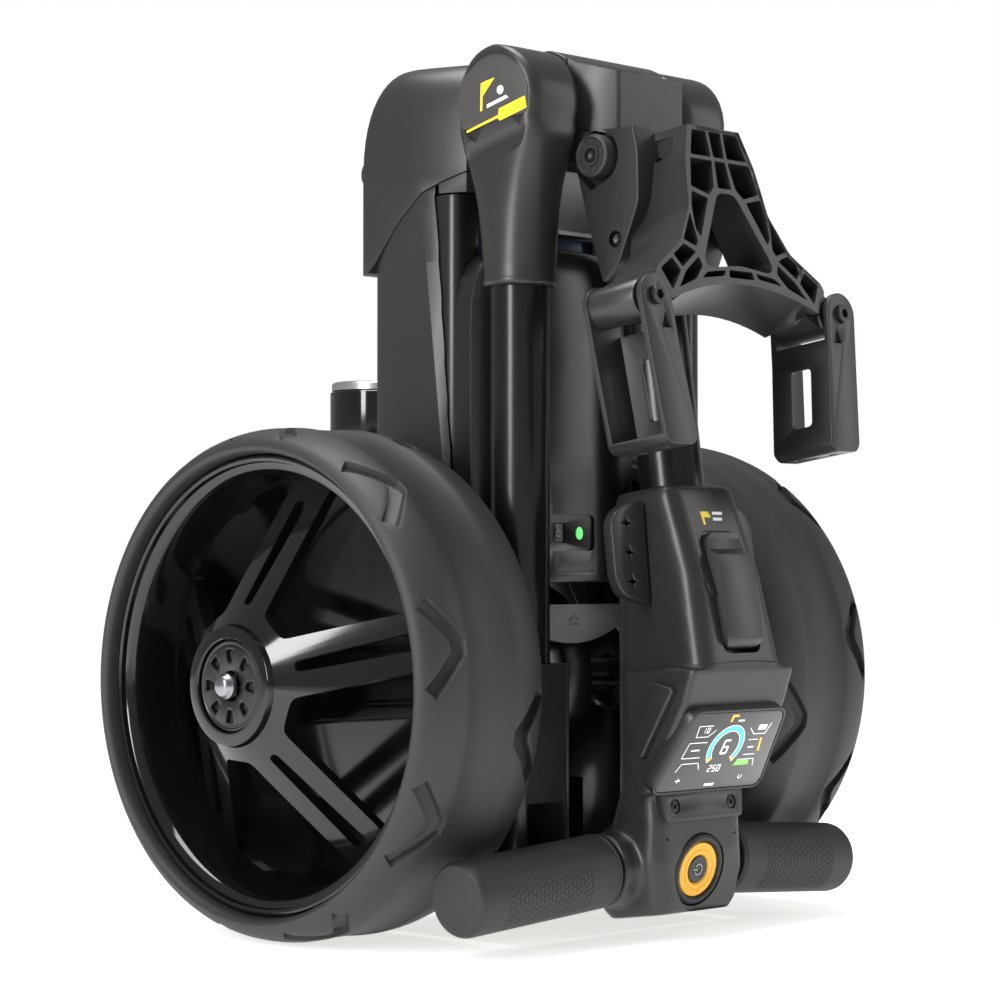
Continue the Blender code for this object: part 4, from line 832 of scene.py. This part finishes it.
right = [(0.0225, -0.0290), (0.0300, -0.0500), (0.0345, -0.0780), (0.0480, -0.1000), (0.0720, -0.1160),
         (0.0740, -0.1210), (0.0640, -0.1340)]
arch = [(0.064 - 0.128 * i / 16, -0.1215 - 0.0125 * (1 - i / 8) ** 2) for i in range(1, 16)]
outline = eased(right, 0.0030, 3)[4:-4] + [right[-1]] + arch + [(-right[-1][0], right[-1][1])]
outline = ([right[0]] + outline + [(-x, z) for x, z in reversed(eased(right, 0.0030, 3)[4:-4])]
           + [(-0.0225, -0.0290)])
front_ring = [(x, shield_front(z), z) for x, z in outline]
back_ring = [(x, -0.0690 + 0.12 * max(-z - 0.09, 0.0),
              z - (0.0110 if z < -0.118 and abs(x) < 0.0635 else 0.0))
             for x, z in outline]
shield = loft("bag_bracket_moulding", [front_ring, back_ring])
for side, label in SIDES:
    wall = []
    for z, out, rear_x, rear_y in ((-0.0290, 0.0225, 0.0295, -0.0440), (-0.0400, 0.0262, 0.0300, -0.0445),
                                   (-0.0500, 0.0300, 0.0310, -0.0450), (-0.0640, 0.0325, 0.0325, -0.0465),
                                   (-0.0780, 0.0345, 0.0350, -0.0490), (-0.0890, 0.0412, 0.0400, -0.0530),
                                   (-0.1000, 0.0480, 0.0470, -0.0570), (-0.1080, 0.0600, 0.0570, -0.0600),
                                   (-0.1160, 0.0718, 0.0690, -0.0630)):
        front = shield_front(z)
        mid = (out * 0.45 + rear_x * 0.55 - 0.0015, (front + rear_y) / 2)
        wall.append([(side * out, front, z), (side * mid[0], mid[1], z), (side * rear_x, rear_y, z),
                     (side * (rear_x - 0.0032), rear_y, z), (side * (mid[0] - 0.0032), mid[1], z),
                     (side * (out - 0.0032), front, z)])
    boss = lathe("boss", [(0.0001, -0.0945), (0.0108, -0.0945), (0.0115, -0.0935), (0.0115, -0.0600),
                          (0.0001, -0.0600)],
                 (side * ARM_BOLT.x, 0, ARM_BOLT.z), 'Y', 48)
    link = prism("link", [(side * x, z) for x, z in ((0.060, -0.112), (0.080, -0.1225), (0.080, -0.144),
                                                     (0.058, -0.136))],
                 'Y', -0.0930, -0.0620)
    carve(shield, loft("wall", wall), boss, link, operation='UNION')
window = [(-0.0075, -0.0680), (0.0075, -0.0680), (0.0300, -0.1085), (0.0270, -0.1135), (0.0, -0.1105),
          (-0.0270, -0.1135), (-0.0300, -0.1085)]
cells = [[(-0.0195, -0.0315), (-0.0075, -0.0315), (-0.0068, -0.0468), (-0.0245, -0.0468)],
         [(-0.0052, -0.0315), (0.0052, -0.0315), (0.0048, -0.0468), (-0.0048, -0.0468)],
         [(-0.0255, -0.0490), (-0.0068, -0.0490), (-0.0095, -0.0650), (-0.0150, -0.0700),
          (-0.0295, -0.0660)],
         [(-0.0048, -0.0490), (0.0048, -0.0490), (0.0060, -0.0652), (-0.0060, -0.0652)],
         [(-0.0300, -0.0690), (-0.0165, -0.0720), (-0.0290, -0.0960), (-0.0325, -0.0920),
          (-0.0325, -0.0790)],
         [(-0.0350, -0.0820), (-0.0450, -0.0985), (-0.0350, -0.1020), (-0.0325, -0.0990)],
         [(-0.0455, -0.1010), (-0.0560, -0.1080), (-0.0500, -0.1150), (-0.0360, -0.1050)],
         [(-0.0580, -0.1100), (-0.0690, -0.1170), (-0.0620, -0.1290), (-0.0520, -0.1170)],
         [(-0.0345, -0.1075), (-0.0480, -0.1170), (-0.0560, -0.1270), (-0.0400, -0.1210),
          (-0.0325, -0.1130)],
         [(-0.0290, -0.1160), (-0.0350, -0.1200), (-0.0150, -0.1175), (-0.0130, -0.1140)],
         [(-0.0100, -0.1136), (0.0100, -0.1136), (0.0110, -0.1182), (-0.0110, -0.1182)]]
cells += [[(-x, z) for x, z in cell] for cell in cells if max(x for x, z in cell) < 0.0]
carve(shield, prism("window", eased(window, 0.0050, 5), 'Y', -0.1200, -0.0300),
      joined("cells", [prism("cell", eased(cell, 0.0012, 2), 'Y', -0.1200, -0.0740) for cell in cells]))
for side, label in SIDES:
    for shape in ([(-0.0790, -0.0340), (-0.0600, -0.0340), (-0.0570, -0.0400), (-0.0690, -0.0480),
                   (-0.0790, -0.0430)],
                  [(-0.0640, -0.0500), (-0.0555, -0.0430), (-0.0500, -0.0470), (-0.0520, -0.0600)]):
        cut = prism("cut", eased(shape, 0.0015), 'X', *sorted((side * 0.0245, side * 0.0400)))
        carve(shield, cut)
    carve(shield, rod("screw_well", 0.0036, side * 0.0275, side * 0.0400, (0, -0.0500, -0.0360), 'X', 32))
round_edges(shield, 0.0005, 2, 40.0)
place(leaned(shield), "stem", "satin_plastic", CHARCOAL, "bag_bracket", angle=40.0)

# ------------------------------------------------------------------ bag arms and their bolts
# Each arm is a channel moulding that swings on a bolt: rounded cheek, sunk window in the web and two
# moulding holes in the foot. The bolts are blackened steel with hexagon sockets.
FRONT, BACK, LENGTH = -0.0033, 0.0400, 0.0770


def beside(points, side):
    """An outline drawn for the right arm, mirrored for the left."""
    return [(side * a, b) for a, b in points]


for side, label in SIDES:
    arm = prism(f"{label}_arm_moulding", beside(eased(
        arc((0, 0), 0.0125, 0, 180, 32) + [(-0.0150, -0.0250), (-0.0225, -LENGTH),
                                           (-0.0180, -LENGTH - 0.004), (0.0, -LENGTH - 0.004),
                                           (0.0035, -LENGTH)], 0.0022, 3), side), 'Y', FRONT, BACK)
    round_edges(arm, 0.0018, 3, 55.0)
    carve(arm, prism("gap", beside([(-0.0160, 0.0140), (0.0140, 0.0140), (0.0140, -0.0150),
                                    (-0.0170, -0.0150)], side),
                     'Y', 0.0000, BACK - 0.0036),
          prism("hollow", beside([(-0.0120, -0.0100), (0.0200, -0.0100), (0.0200, -LENGTH + 0.0020),
                                  (-0.0180, -LENGTH + 0.0020)], side), 'Y', 0.0000, BACK - 0.0036),
          prism("window", eased(oblong(0.0110, -0.0300, BACK - 0.0140, -0.0640), 0.0030), 'X',
                *sorted((side * -0.0300, side * 0.0100))),
          prism("pointer", beside(eased([(-0.0058, -0.0085), (-0.0018, -0.0175), (-0.0092, -0.0175)],
                                        0.0008), side),
                'Y', FRONT - 0.01, FRONT + 0.0025),
          rod("bore", 0.0036, -0.02, 0.06, (0, 0, 0), 'Y', 32),
          *[rod("hole", 0.0028, -0.09, -0.07, (x, y, 0), 'Z', 24)
            for x, y in ((side * -0.008, 0.0080), (side * -0.012, 0.0280))])
    arm.data.transform(Matrix.Translation((side * ARM_BOLT.x, ARM_BOLT.y, ARM_BOLT.z)))
    round_edges(arm, 0.0004, 2, 50.0)
    place(leaned(arm), f"{label}_arm", "satin_plastic", CHARCOAL, f"{label}_bag_arm", angle=40.0)
    bolt = lathe(f"{label}_arm_bolt_screw", [
        (0.0001, 0.0420), (0.0032, 0.0420), (0.0032, -0.0034), (0.0050, -0.0038), (0.0052, -0.0044),
        (0.0052, -0.0056), (0.0047, -0.0062), (0.0001, -0.0062)], (0, 0, 0), 'Y', 64)
    carve(bolt, prism("socket", arc((0, 0), 0.0029, 0, 300, 5), 'Y', -0.0100, -0.0036))
    bolt.data.transform(Matrix.Translation((side * ARM_BOLT.x, ARM_BOLT.y, ARM_BOLT.z)))
    place(leaned(bolt), "stem", "steel", DARK_STEEL, f"{label}_arm_bolt")

# ------------------------------------------------------------------ handle casting
# One soft-edged plastic moulding: a tapering body on the stem tube, a cowl round the display, and a
# cross bar that swells out of the body to carry the grips. Wells are cut in it for lever and dial.
DIAL_AT = Vector((0.0, -0.0175, -0.4428))
DIAL_OUT = Vector((0.0, -math.cos(math.radians(20)), -math.sin(math.radians(20))))
DIAL_TURN = Matrix.Translation(DIAL_AT) @ (-DIAL_OUT).to_track_quat('Y', 'X').to_matrix().to_4x4()


def block_section(z, half, front, back, corner):
    """A level rectangle with round corners."""
    return [(x, y, z) for x, y in eased(oblong(-half, front, half, back), corner, 6)]


casting = loft("handle_moulding", [block_section(*row) for row in (
    (-0.2275, 0.0275, -0.0495, -0.0085, 0.0085), (-0.2300, 0.0292, -0.0520, -0.0068, 0.0100),
    (-0.2340, 0.0302, -0.0532, -0.0060, 0.0110), (-0.2805, 0.0327, -0.0642, -0.0040, 0.0120),
    (-0.3320, 0.0362, -0.0684, 0.0000, 0.0120), (-0.3700, 0.0372, -0.0420, 0.0030, 0.0100),
    (-0.3950, 0.0372, -0.0240, 0.0060, 0.0100), (-0.4150, 0.0382, -0.0240, 0.0150, 0.0100),
    (-0.4377, 0.0400, -0.0218, 0.0300, 0.0120), (-0.4600, 0.0366, -0.0184, 0.0300, 0.0120),
    (-0.4660, 0.0322, -0.0150, 0.0270, 0.0100))])
swell = [(0.0502, 0.0207), (0.0450, 0.0208), (0.0400, 0.0214), (0.0350, 0.0228), (0.0300, 0.0252),
         (0.0260, 0.0285)]
swell = [(-x, r) for x, r in swell] + [(x, r) for x, r in reversed(swell)]
bar = loft("bar", [[(x, 0.0116 + min(r, 0.0225) * math.cos(math.tau * i / 48),
                     -0.4378 + r * math.sin(math.tau * i / 48)) for i in range(48)] for x, r in swell])
cowl = prism("cowl", eased([(-0.0500, -0.3300), (-0.0685, -0.3340), (-0.0590, -0.3530), (-0.0245, -0.3985),
                            (-0.0150, -0.4000), (-0.0150, -0.3300)], 0.0020), 'X', -0.0440, 0.0440)
carve(casting, bar, cowl, operation='UNION')
applied(casting, 'REMESH', mode='VOXEL', voxel_size=0.0013)
applied(casting, 'SMOOTH', factor=0.5, iterations=12)
arch = arc((0, 0), 0.0238, -10, 190, 40) + [(-0.0238, -0.0400), (0.0238, -0.0400)]
dial_arch = prism("dial_arch", arch, 'Y', -0.0300, -0.0010)
dial_well = rod("dial_well", 0.0212, -0.04, 0.0120, (0, 0, 0), 'Y')
for tool in (dial_arch, dial_well):
    tool.data.transform(DIAL_TURN)
badge_line = eased([(-0.0200, -0.2360), (0.0200, -0.2360), (0.0225, -0.2900), (0.0180, -0.2945),
                    (-0.0180, -0.2945), (-0.0225, -0.2900)], 0.0040, 4)
badge_bed = prism("badge_bed", badge_line, 'Z', -0.0013, 0.0100)
FACE_LEAN = math.atan2(0.0642 - 0.0532, 0.2805 - 0.2340)
FACE = Matrix.Translation((0, -0.0532, -0.2340)) @ Matrix.Rotation(-FACE_LEAN, 4, 'X') @ Matrix.Translation(
    (0, 0.0, 0.2340)) @ UPRIGHT
badge_bed.data.transform(FACE)
lever_line = eased([(-0.0154, -0.2552), (0.0154, -0.2552), (0.0166, -0.3256), (-0.0166, -0.3256)], 0.0068, 6)
seam_line = [(0.0500 * t, -0.3335 + 0.0035 * (1 - t * t)) for t in [i / 12 - 1 for i in range(25)]]
seam = prism("seam", seam_line + [(x, z - 0.0005) for x, z in reversed(seam_line)], 'Y', -0.0800, -0.0665)
carve(casting, badge_bed, prism("lever_well", lever_line, 'Y', -0.0800, -0.0580), seam, dial_arch, dial_well,
      rod("bore", STEM_TUBE_BORE, -0.3600, -0.2200, STEM_TUBE_AT, 'Z', 64),
      prism("wiring", oblong(-0.0300, -0.0230, 0.0300, 0.0020), 'Z', -0.4250, -0.3550))
for side, label in SIDES:
    ear = prism("ear", eased([(-0.0400, -0.3370), (-0.0555, -0.3430), (-0.0260, -0.3795),
                              (-0.0185, -0.3700)], 0.0030),
                'X', *sorted((side * 0.0415, side * 0.0485)))
    round_edges(ear, 0.0012, 3)
    ear.name = f"{label}_cowl_ear"
    place(leaned(ear), "handle", "satin_plastic", CHARCOAL)
place(leaned(casting), "handle", "satin_plastic", CHARCOAL, "handle_shell", angle=40.0)
PLATE_SCREW_X = 0.0243
plate_turn = Matrix.Translation((0, -0.0254, -0.4065)) @ Matrix.Rotation(math.radians(2), 4, 'X') @ UPRIGHT
screw_plate = prism("screw_plate", eased([(-0.0330, -0.0085), (0.0330, -0.0085), (0.0350, 0.0085),
                                          (-0.0350, 0.0085)],
                                         0.0030), 'Z', -0.0050, 0.0016)
carve(screw_plate, *[rod("well", 0.0042, 0.0001, 0.0100, (x, 0, 0), 'Z', 32)
                     for x in (-PLATE_SCREW_X, PLATE_SCREW_X)])
round_edges(screw_plate, 0.0005)
screw_plate.data.transform(plate_turn)
place(leaned(screw_plate), "handle", "satin_plastic", CHARCOAL)
for side, label in SIDES:
    screw = lathe(f"{label}_plate_screw", [(0.0001, 0.0), (0.0036, 0.0), (0.0036, 0.0008), (0.0026, 0.0014),
                                           (0.0014, 0.0014), (0.0012, 0.0004), (0.0001, 0.0004)],
                  (side * PLATE_SCREW_X, 0, 0), 'Z', 32)
    screw.data.transform(plate_turn)
    place(leaned(screw), "handle", "steel", DARK_STEEL)

# ------------------------------------------------------------------ height lever and its badge panel
# The lever is a long satin moulding with a thumb hollow at its top. Behind it a darker smooth panel
# is let into the casting, with a plain printed flag.
SMOOTH_DARK = finish("smooth_dark", (0.012, 0.012, 0.012), (0.018, 0.018, 0.018), 0.34, 0.00001, 900.0, 0.04)
panel = prism("badge_panel", eased([(x * 0.985, y) for x, y in badge_line], 0.0001, 1), 'Z', -0.0020,
              -0.0002)
panel.data.transform(FACE)
carve(panel, prism("lever_gap", lever_line, 'Y', -0.0800, -0.0500))
place(leaned(panel), "handle", "gloss_black", SMOOTH_DARK)
flag = [[(-0.0090, -0.2440), (-0.0090, -0.2520), (-0.0072, -0.2520), (-0.0072, -0.2475), (-0.0010, -0.2475),
         (-0.0024, -0.2440)]]
bars = [[(0.0012, -0.2440), (0.0100, -0.2440), (0.0092, -0.2458), (0.0008, -0.2458)],
        [(0.0006, -0.2476), (0.0086, -0.2476), (0.0078, -0.2494), (0.0002, -0.2494)]]
place(leaned(mark("panel_flag", flag, 0.0001, FACE @ Matrix.Translation((0, 0, -0.0002)))), "handle",
      "yellow_plastic", BADGE_YELLOW)
place(leaned(mark("panel_bars", bars, 0.0001, FACE @ Matrix.Translation((0, 0, -0.0002)))), "handle",
      "grey_plastic", BADGE_WHITE)
lever_side = [(-0.0595, -0.3228), (-0.0665, -0.3228), (-0.0682, -0.3218), (-0.0696, -0.3202),
              (-0.0710, -0.3180), (-0.0712, -0.3100), (-0.0700, -0.2760), (-0.0690, -0.2700),
              (-0.0640, -0.2665), (-0.0625, -0.2600), (-0.0640, -0.2570), (-0.0595, -0.2564)]
lever = prism("height_lever_moulding", lever_side, 'X', -0.0170, 0.0170)
carve(lever, prism("outline", eased([(x * 0.97, z) for x, z in
                                     ((-0.0152, -0.2564), (0.0152, -0.2564), (0.0162, -0.3230),
                                      (-0.0162, -0.3230))],
                                    0.0078, 6), 'Y', -0.0800, -0.0500), operation='INTERSECT')
round_edges(lever, 0.0009, 3)
place(leaned(lever), "height_lever", "satin_plastic", CHARCOAL, "height_lever", angle=40.0)

# ------------------------------------------------------------------ accessory mounts
# Side plates with three star sockets, clipped to the casting under the top bevel.
for side, label in SIDES:
    outline = [(0.0322, -0.2345), (0.0480, -0.2365), (0.0560, -0.2410), (0.0606, -0.2480), (0.0612, -0.2780),
               (0.0585, -0.2850), (0.0540, -0.2890), (0.0350, -0.2935)]
    mount = prism(f"{label}_mount_moulding", eased([(side * x, z) for x, z in outline], 0.0030), 'Y',
                  -0.0342, -0.0270)
    stars = []
    for n in range(3):
        star = [(side * 0.0475 + r * math.cos(math.tau * i / 8),
                 -0.2475 - 0.0165 * n + r * math.sin(math.tau * i / 8))
                for i, r in enumerate((0.0039, 0.0013) * 4)]
        stars.append(prism("star", star, 'Y', -0.04, -0.0290))
    carve(mount, joined("stars", stars))
    round_edges(mount, 0.0011, 3, 60.0)
    place(leaned(mount), "handle", "satin_plastic", CHARCOAL, f"{label}_accessory_mount")

# ------------------------------------------------------------------ display
# A round-cornered bezel on the cowl's slope holds dark glass. The lit screen shows a speed gauge
# between outlined boxes; its numbers are made up.
SCREEN = Matrix.Translation((0, -0.0415, -0.3753)) @ Matrix(
    ((1, 0, 0, 0), (0, -0.622, -0.783, 0), (0, 0.783, -0.622, 0), (0, 0, 0, 1)))
GLASS = finish("screen_glass", (0.006, 0.006, 0.007), (0.009, 0.009, 0.010), 0.16, 0.000001, 400.0, 0.03,
               Coat_Weight=0.4)
LIT = {}
for tint, colour in (("cyan", (0.05, 0.50, 0.80)), ("white", (0.85, 0.85, 0.85)),
                     ("amber", (0.95, 0.48, 0.02)), ("green", (0.20, 0.62, 0.10))):
    LIT[tint] = finish(f"lit_{tint}", colour, tuple(c * 1.08 for c in colour), 0.30, 0.000001,
                       Emission_Color=(*colour, 1.0), Emission_Strength=0.55)


def face_line(shrink, corner):
    """The display's outline, wider at its foot."""
    return eased([(-0.0408 + shrink, 0.0280 - shrink), (0.0408 - shrink, 0.0280 - shrink),
                  (0.0480 - shrink, -0.0270 + shrink), (-0.0480 + shrink, -0.0270 + shrink)], corner, 8)


def stroke(points, width=0.00045):
    """Thin bars that follow a bent line."""
    bars = []
    for (ax, ay), (bx, by) in zip(points, points[1:]):
        long = math.hypot(bx - ax, by - ay)
        px, py = (by - ay) / long * width / 2, (ax - bx) / long * width / 2
        bars.append([(ax + px, ay + py), (bx + px, by + py), (bx - px, by - py), (ax - px, ay - py)])
    return bars


def numeral(segments, x, y, high, width):
    """One seven-bar numeral; the bars are lettered from the top, clockwise, the middle last."""
    wide, half = high * 0.55, high / 2
    spots = {'a': ((0, high), (wide, high)), 'b': ((wide, high), (wide, half)),
             'c': ((wide, half), (wide, 0)), 'd': ((0, 0), (wide, 0)), 'e': ((0, half), (0, 0)),
             'f': ((0, high), (0, half)), 'g': ((0, half), (wide, half))}
    return [bar for letter in segments for bar in stroke([(x + a, y + b) for a, b in spots[letter]], width)]


def band(centre, outer, inner, start, end):
    """A slice of a flat ring, in degrees."""
    return arc(centre, outer, start, end, 48) + arc(centre, inner, end, start, 48)


bezel = prism("display_bezel_moulding", face_line(0.0, 0.0085), 'Z', -0.0040, 0.0056)
carve(bezel, prism("glass_bed", face_line(0.0016, 0.0072), 'Z', 0.0035, 0.0100))
round_edges(bezel, 0.0005)
glass = prism("display_glass_pane", face_line(0.0019, 0.0070), 'Z', 0.0038, 0.0054)
round_edges(glass, 0.0004)
bezel.data.transform(SCREEN)
glass.data.transform(SCREEN)
place(leaned(bezel), "handle", "satin_plastic", CHARCOAL, "display_bezel")
place(leaned(glass), "handle", "screen", GLASS, "display_glass")
gauge = (0.0, 0.0030)
PICTURE_LIFT = 0.00542
pictures = {
    "cyan": [band(gauge, 0.0138, 0.0112, -32, 212)],
    "amber": [band(gauge, 0.0138, 0.0112, -44, -34), band(gauge, 0.0138, 0.0112, 214, 224),
              [(0.0300, -0.0010), (0.0316, -0.0010), (0.0292, 0.0080), (0.0276, 0.0080)],
              [(-0.0060, 0.0200), (-0.0044, 0.0200), (-0.0044, 0.0232), (0.0, 0.0232), (-0.0008, 0.0246),
               (-0.0060, 0.0246)]],
    "green": [[(0.0140, -0.0100), (0.0270, -0.0100), (0.0264, -0.0068), (0.0156, -0.0068)]],
    "white": [band(gauge, 0.0146, 0.0141, -44, 224), band(gauge, 0.0109, 0.0104, -44, 224),
              [(0.0010, 0.0200), (0.0064, 0.0200), (0.0060, 0.0210), (0.0010, 0.0210)],
              [(-0.0040, -0.0228), (0.0040, -0.0228), (0.0044, -0.0212), (-0.0036, -0.0212)],
              oblong(0.0220, 0.0136, 0.0290, 0.0168)]
    + numeral("acdefg", -0.0024, -0.0012, 0.0086, 0.0012)
    + numeral("abged", -0.0068, -0.0130, 0.0040, 0.0006) + numeral("acdfg", -0.0030, -0.0130, 0.0040, 0.0006)
    + numeral("abcdef", 0.0008, -0.0130, 0.0040, 0.0006)
    + numeral("bc", -0.0262, 0.0134, 0.0032, 0.0005) + numeral("abcdef", -0.0226, 0.0134, 0.0032, 0.0005)
    + stroke([(-0.0300, 0.0108), (-0.0310, 0.0180), (-0.0190, 0.0180)])
    + stroke([(-0.0300, 0.0108), (-0.0200, 0.0108), (-0.0150, 0.0150)])
    + stroke([(0.0150, 0.0150), (0.0200, 0.0108), (0.0300, 0.0108), (0.0320, 0.0180)])
    + stroke([(-0.0180, 0.0070), (-0.0330, 0.0070), (-0.0345, -0.0030), (-0.0190, -0.0030)])
    + stroke([(0.0180, 0.0070), (0.0262, 0.0070)]) + stroke([(0.0190, -0.0030), (0.0290, -0.0030)])
    + stroke([(-0.0290, 0.0020), (-0.0220, 0.0020)], 0.0009)
    + stroke([(0.0200, 0.0020), (0.0250, 0.0020)], 0.0009)
    + stroke([(-0.0345, -0.0120), (-0.0320, -0.0068), (-0.0180, -0.0068), (-0.0150, -0.0112)])
    + stroke([(0.0156, -0.0062), (0.0300, -0.0062), (0.0320, -0.0110)])
    + stroke([(-0.0310, -0.0180), (-0.0270, -0.0180)], 0.0007)
    + stroke([(-0.0290, -0.0195), (-0.0290, -0.0165)], 0.0005)
    + [band((0.0250, -0.0180), 0.0016, 0.0011, -230, 50)]}
for tint, shapes in pictures.items():
    lit = mark(f"screen_{tint}", shapes, 0.0001, SCREEN @ Matrix.Translation((0, 0, PICTURE_LIFT)))
    place(leaned(lit), "handle", "screen", LIT[tint])

# ------------------------------------------------------------------ speed dial
# A rubber ring round a yellow plastic one with a turned groove, and a dark push button in the middle.
RING_YELLOW = finish("dial_yellow", (0.84, 0.42, 0.018), (0.93, 0.49, 0.030), 0.42)
rubber = lathe("dial_rubber", [
    (0.0163, 0.0110), (0.0200, 0.0110), (0.0207, 0.0100), (0.0208, 0.0015), (0.0202, -0.0006),
    (0.0188, -0.0016), (0.0172, -0.0014), (0.0162, 0.0), (0.0160, 0.0030)], (0, 0, 0), 'Y', 120)
yellow = lathe("dial_yellow_disc", [
    (0.0082, 0.0040), (0.0158, 0.0040), (0.0158, 0.0002), (0.0153, -0.0004), (0.0122, -0.0005),
    (0.0119, -0.0001), (0.0115, -0.0001), (0.0112, -0.0005), (0.0092, -0.0005), (0.0088, -0.0001),
    (0.0082, 0.0004)], (0, 0, 0), 'Y', 120)
push = lathe("dial_push", [
    (0.0001, 0.0090), (0.0020, 0.0090), (0.0060, 0.0060), (0.0080, 0.0056), (0.0080, 0.0002),
    (0.0074, -0.0004), (0.0030, -0.0001), (0.0001, 0.0)], (0, 0, 0), 'Y', 96)
for made, body, slot, material, node in ((rubber, "dial", "soft_rubber", SOFT_RUBBER, "dial_ring"),
                                         (yellow, "dial", "yellow_plastic", RING_YELLOW, "dial_yellow_ring"),
                                         (push, "dial_button", "satin_plastic", CHARCOAL, "dial_button")):
    made.data.transform(DIAL_TURN)
    place(leaned(made), body, slot, material, node)
dial_icon = mark("dial_icon", power_icon(0.0034, 0.0007), 0.0001,
                 DIAL_TURN @ Matrix(((1, 0, 0, 0), (0, 0, -1, -0.00045), (0, 1, 0, 0), (0, 0, 0, 1))))
place(leaned(dial_icon), "dial_button", "grey_plastic", ICON_GREY)

# ------------------------------------------------------------------ grips
# Soft rubber sleeves with a flat moulded end. A patch of small raised hexagons covers the lower front.
GRIP_RADIUS = 0.0209
HEX_COLUMNS, HEX_ROWS, HEX_FIRST, HEX_TURN, HEX_STEP = 21, 9, 72, 9.6, 0.0031
for side, label in SIDES:
    start = Vector((side * 0.0523, 0.0116, -0.4378))
    reach = (Vector((side * 0.1600, 0.0151, -0.4452)) - start).normalized()
    turn = Matrix.Translation(start) @ reach.to_track_quat('X', 'Z').to_matrix().to_4x4()
    grip = lathe(f"{label}_grip_sleeve", [
        (0.0001, 0.0), (0.0200, 0.0), (0.0208, 0.0008), (0.0209, 0.0016), (0.0204, 0.0022), (0.0204, 0.0028),
        (0.0209, 0.0034), (0.0209, 0.1040), (0.0205, 0.1062), (0.0197, 0.1078), (0.0186, 0.1086),
        (0.0001, 0.1090)],
        (0, 0, 0), 'X', 128)
    cell = prism("hexagon", arc((0, 0), 0.0019, 0, 300, 5), 'Z', -0.0002, 0.0002)
    round_edges(cell, 0.00012, 1)
    cells = []
    for column in range(HEX_COLUMNS):
        for row in range(HEX_ROWS):
            angle = side * math.radians(HEX_FIRST + (row + 0.5 * (column % 2)) * HEX_TURN)
            tilt = (Matrix.Translation((0.0240 + HEX_STEP * column, 0, 0)) @ Matrix.Rotation(angle, 4, 'X')
                    @ Matrix.Translation((0, 0, GRIP_RADIUS)))
            cells.append(copy_of(cell, "hexagon", tilt))
    only(cell)
    bpy.ops.object.delete()
    patch = joined(f"{label}_grip_texture", cells)
    for made in (grip, patch):
        made.data.transform(turn)
    place(leaned(grip), "handle", "soft_rubber", SOFT_RUBBER, f"{label}_grip")
    place(leaned(patch), "handle", "soft_rubber", SOFT_RUBBER)

# ------------------------------------------------------------------ front wheel and its fork
# Folded up behind the body: a bent steel tube fork, powder coated, with a small rubber-tyred wheel
# whose moulded rim is lightened by five round holes.
place(recast("front_fork", 0.0004), "fork", "tube_paint", TUBE_COAT, "front_fork", angle=40.0)
place(recast("fork_pin", 0.0005), "chassis", "steel", STEEL, "fork_pin")
place(recast("front_axle", 0.0005), "fork", "steel", STEEL, "front_axle")
FRONT_HUB = Vector((0.0, 0.1358, 0.0800))
front_tread = [(0.0604, -0.0183), (0.0660, -0.0197), (0.0705, -0.0194), (0.0745, -0.0172), (0.0774, -0.0135),
               (0.0790, -0.0096), (0.0797, -0.0060), (0.0788, -0.0050), (0.0788, -0.0032), (0.0798, -0.0022)]
small_tyre = lathe("front_tyre_rubber", front_tread + [(r, -x) for r, x in reversed(front_tread)], FRONT_HUB,
                   'X', 144)
place(small_tyre, "front_wheel", "tyre_rubber", RUBBER_TYRE, "front_tyre")
half_rim = [(0.0044, 0.0200), (0.0105, 0.0200), (0.0120, 0.0188), (0.0140, 0.0064), (0.0180, 0.0048),
            (0.0480, 0.0048), (0.0515, 0.0064), (0.0540, 0.0166), (0.0556, 0.0180), (0.0600, 0.0184)]
small_rim = lathe("front_rim_moulding", half_rim + [(r, -x) for r, x in reversed(half_rim)], FRONT_HUB, 'X',
                  144)
carve(small_rim, joined("holes", [
    prism("hole", arc((FRONT_HUB.y + 0.0330 * math.cos(math.tau * n / 5),
                       FRONT_HUB.z + 0.0330 * math.sin(math.tau * n / 5)),
                      0.0105, 0, 352.5, 47), 'X', -0.0100, 0.0100) for n in range(5)]))
round_edges(small_rim, 0.0005, 2, 40.0)
place(small_rim, "front_wheel", "gloss_black", PIANO_BLACK, "front_rim", angle=40.0)
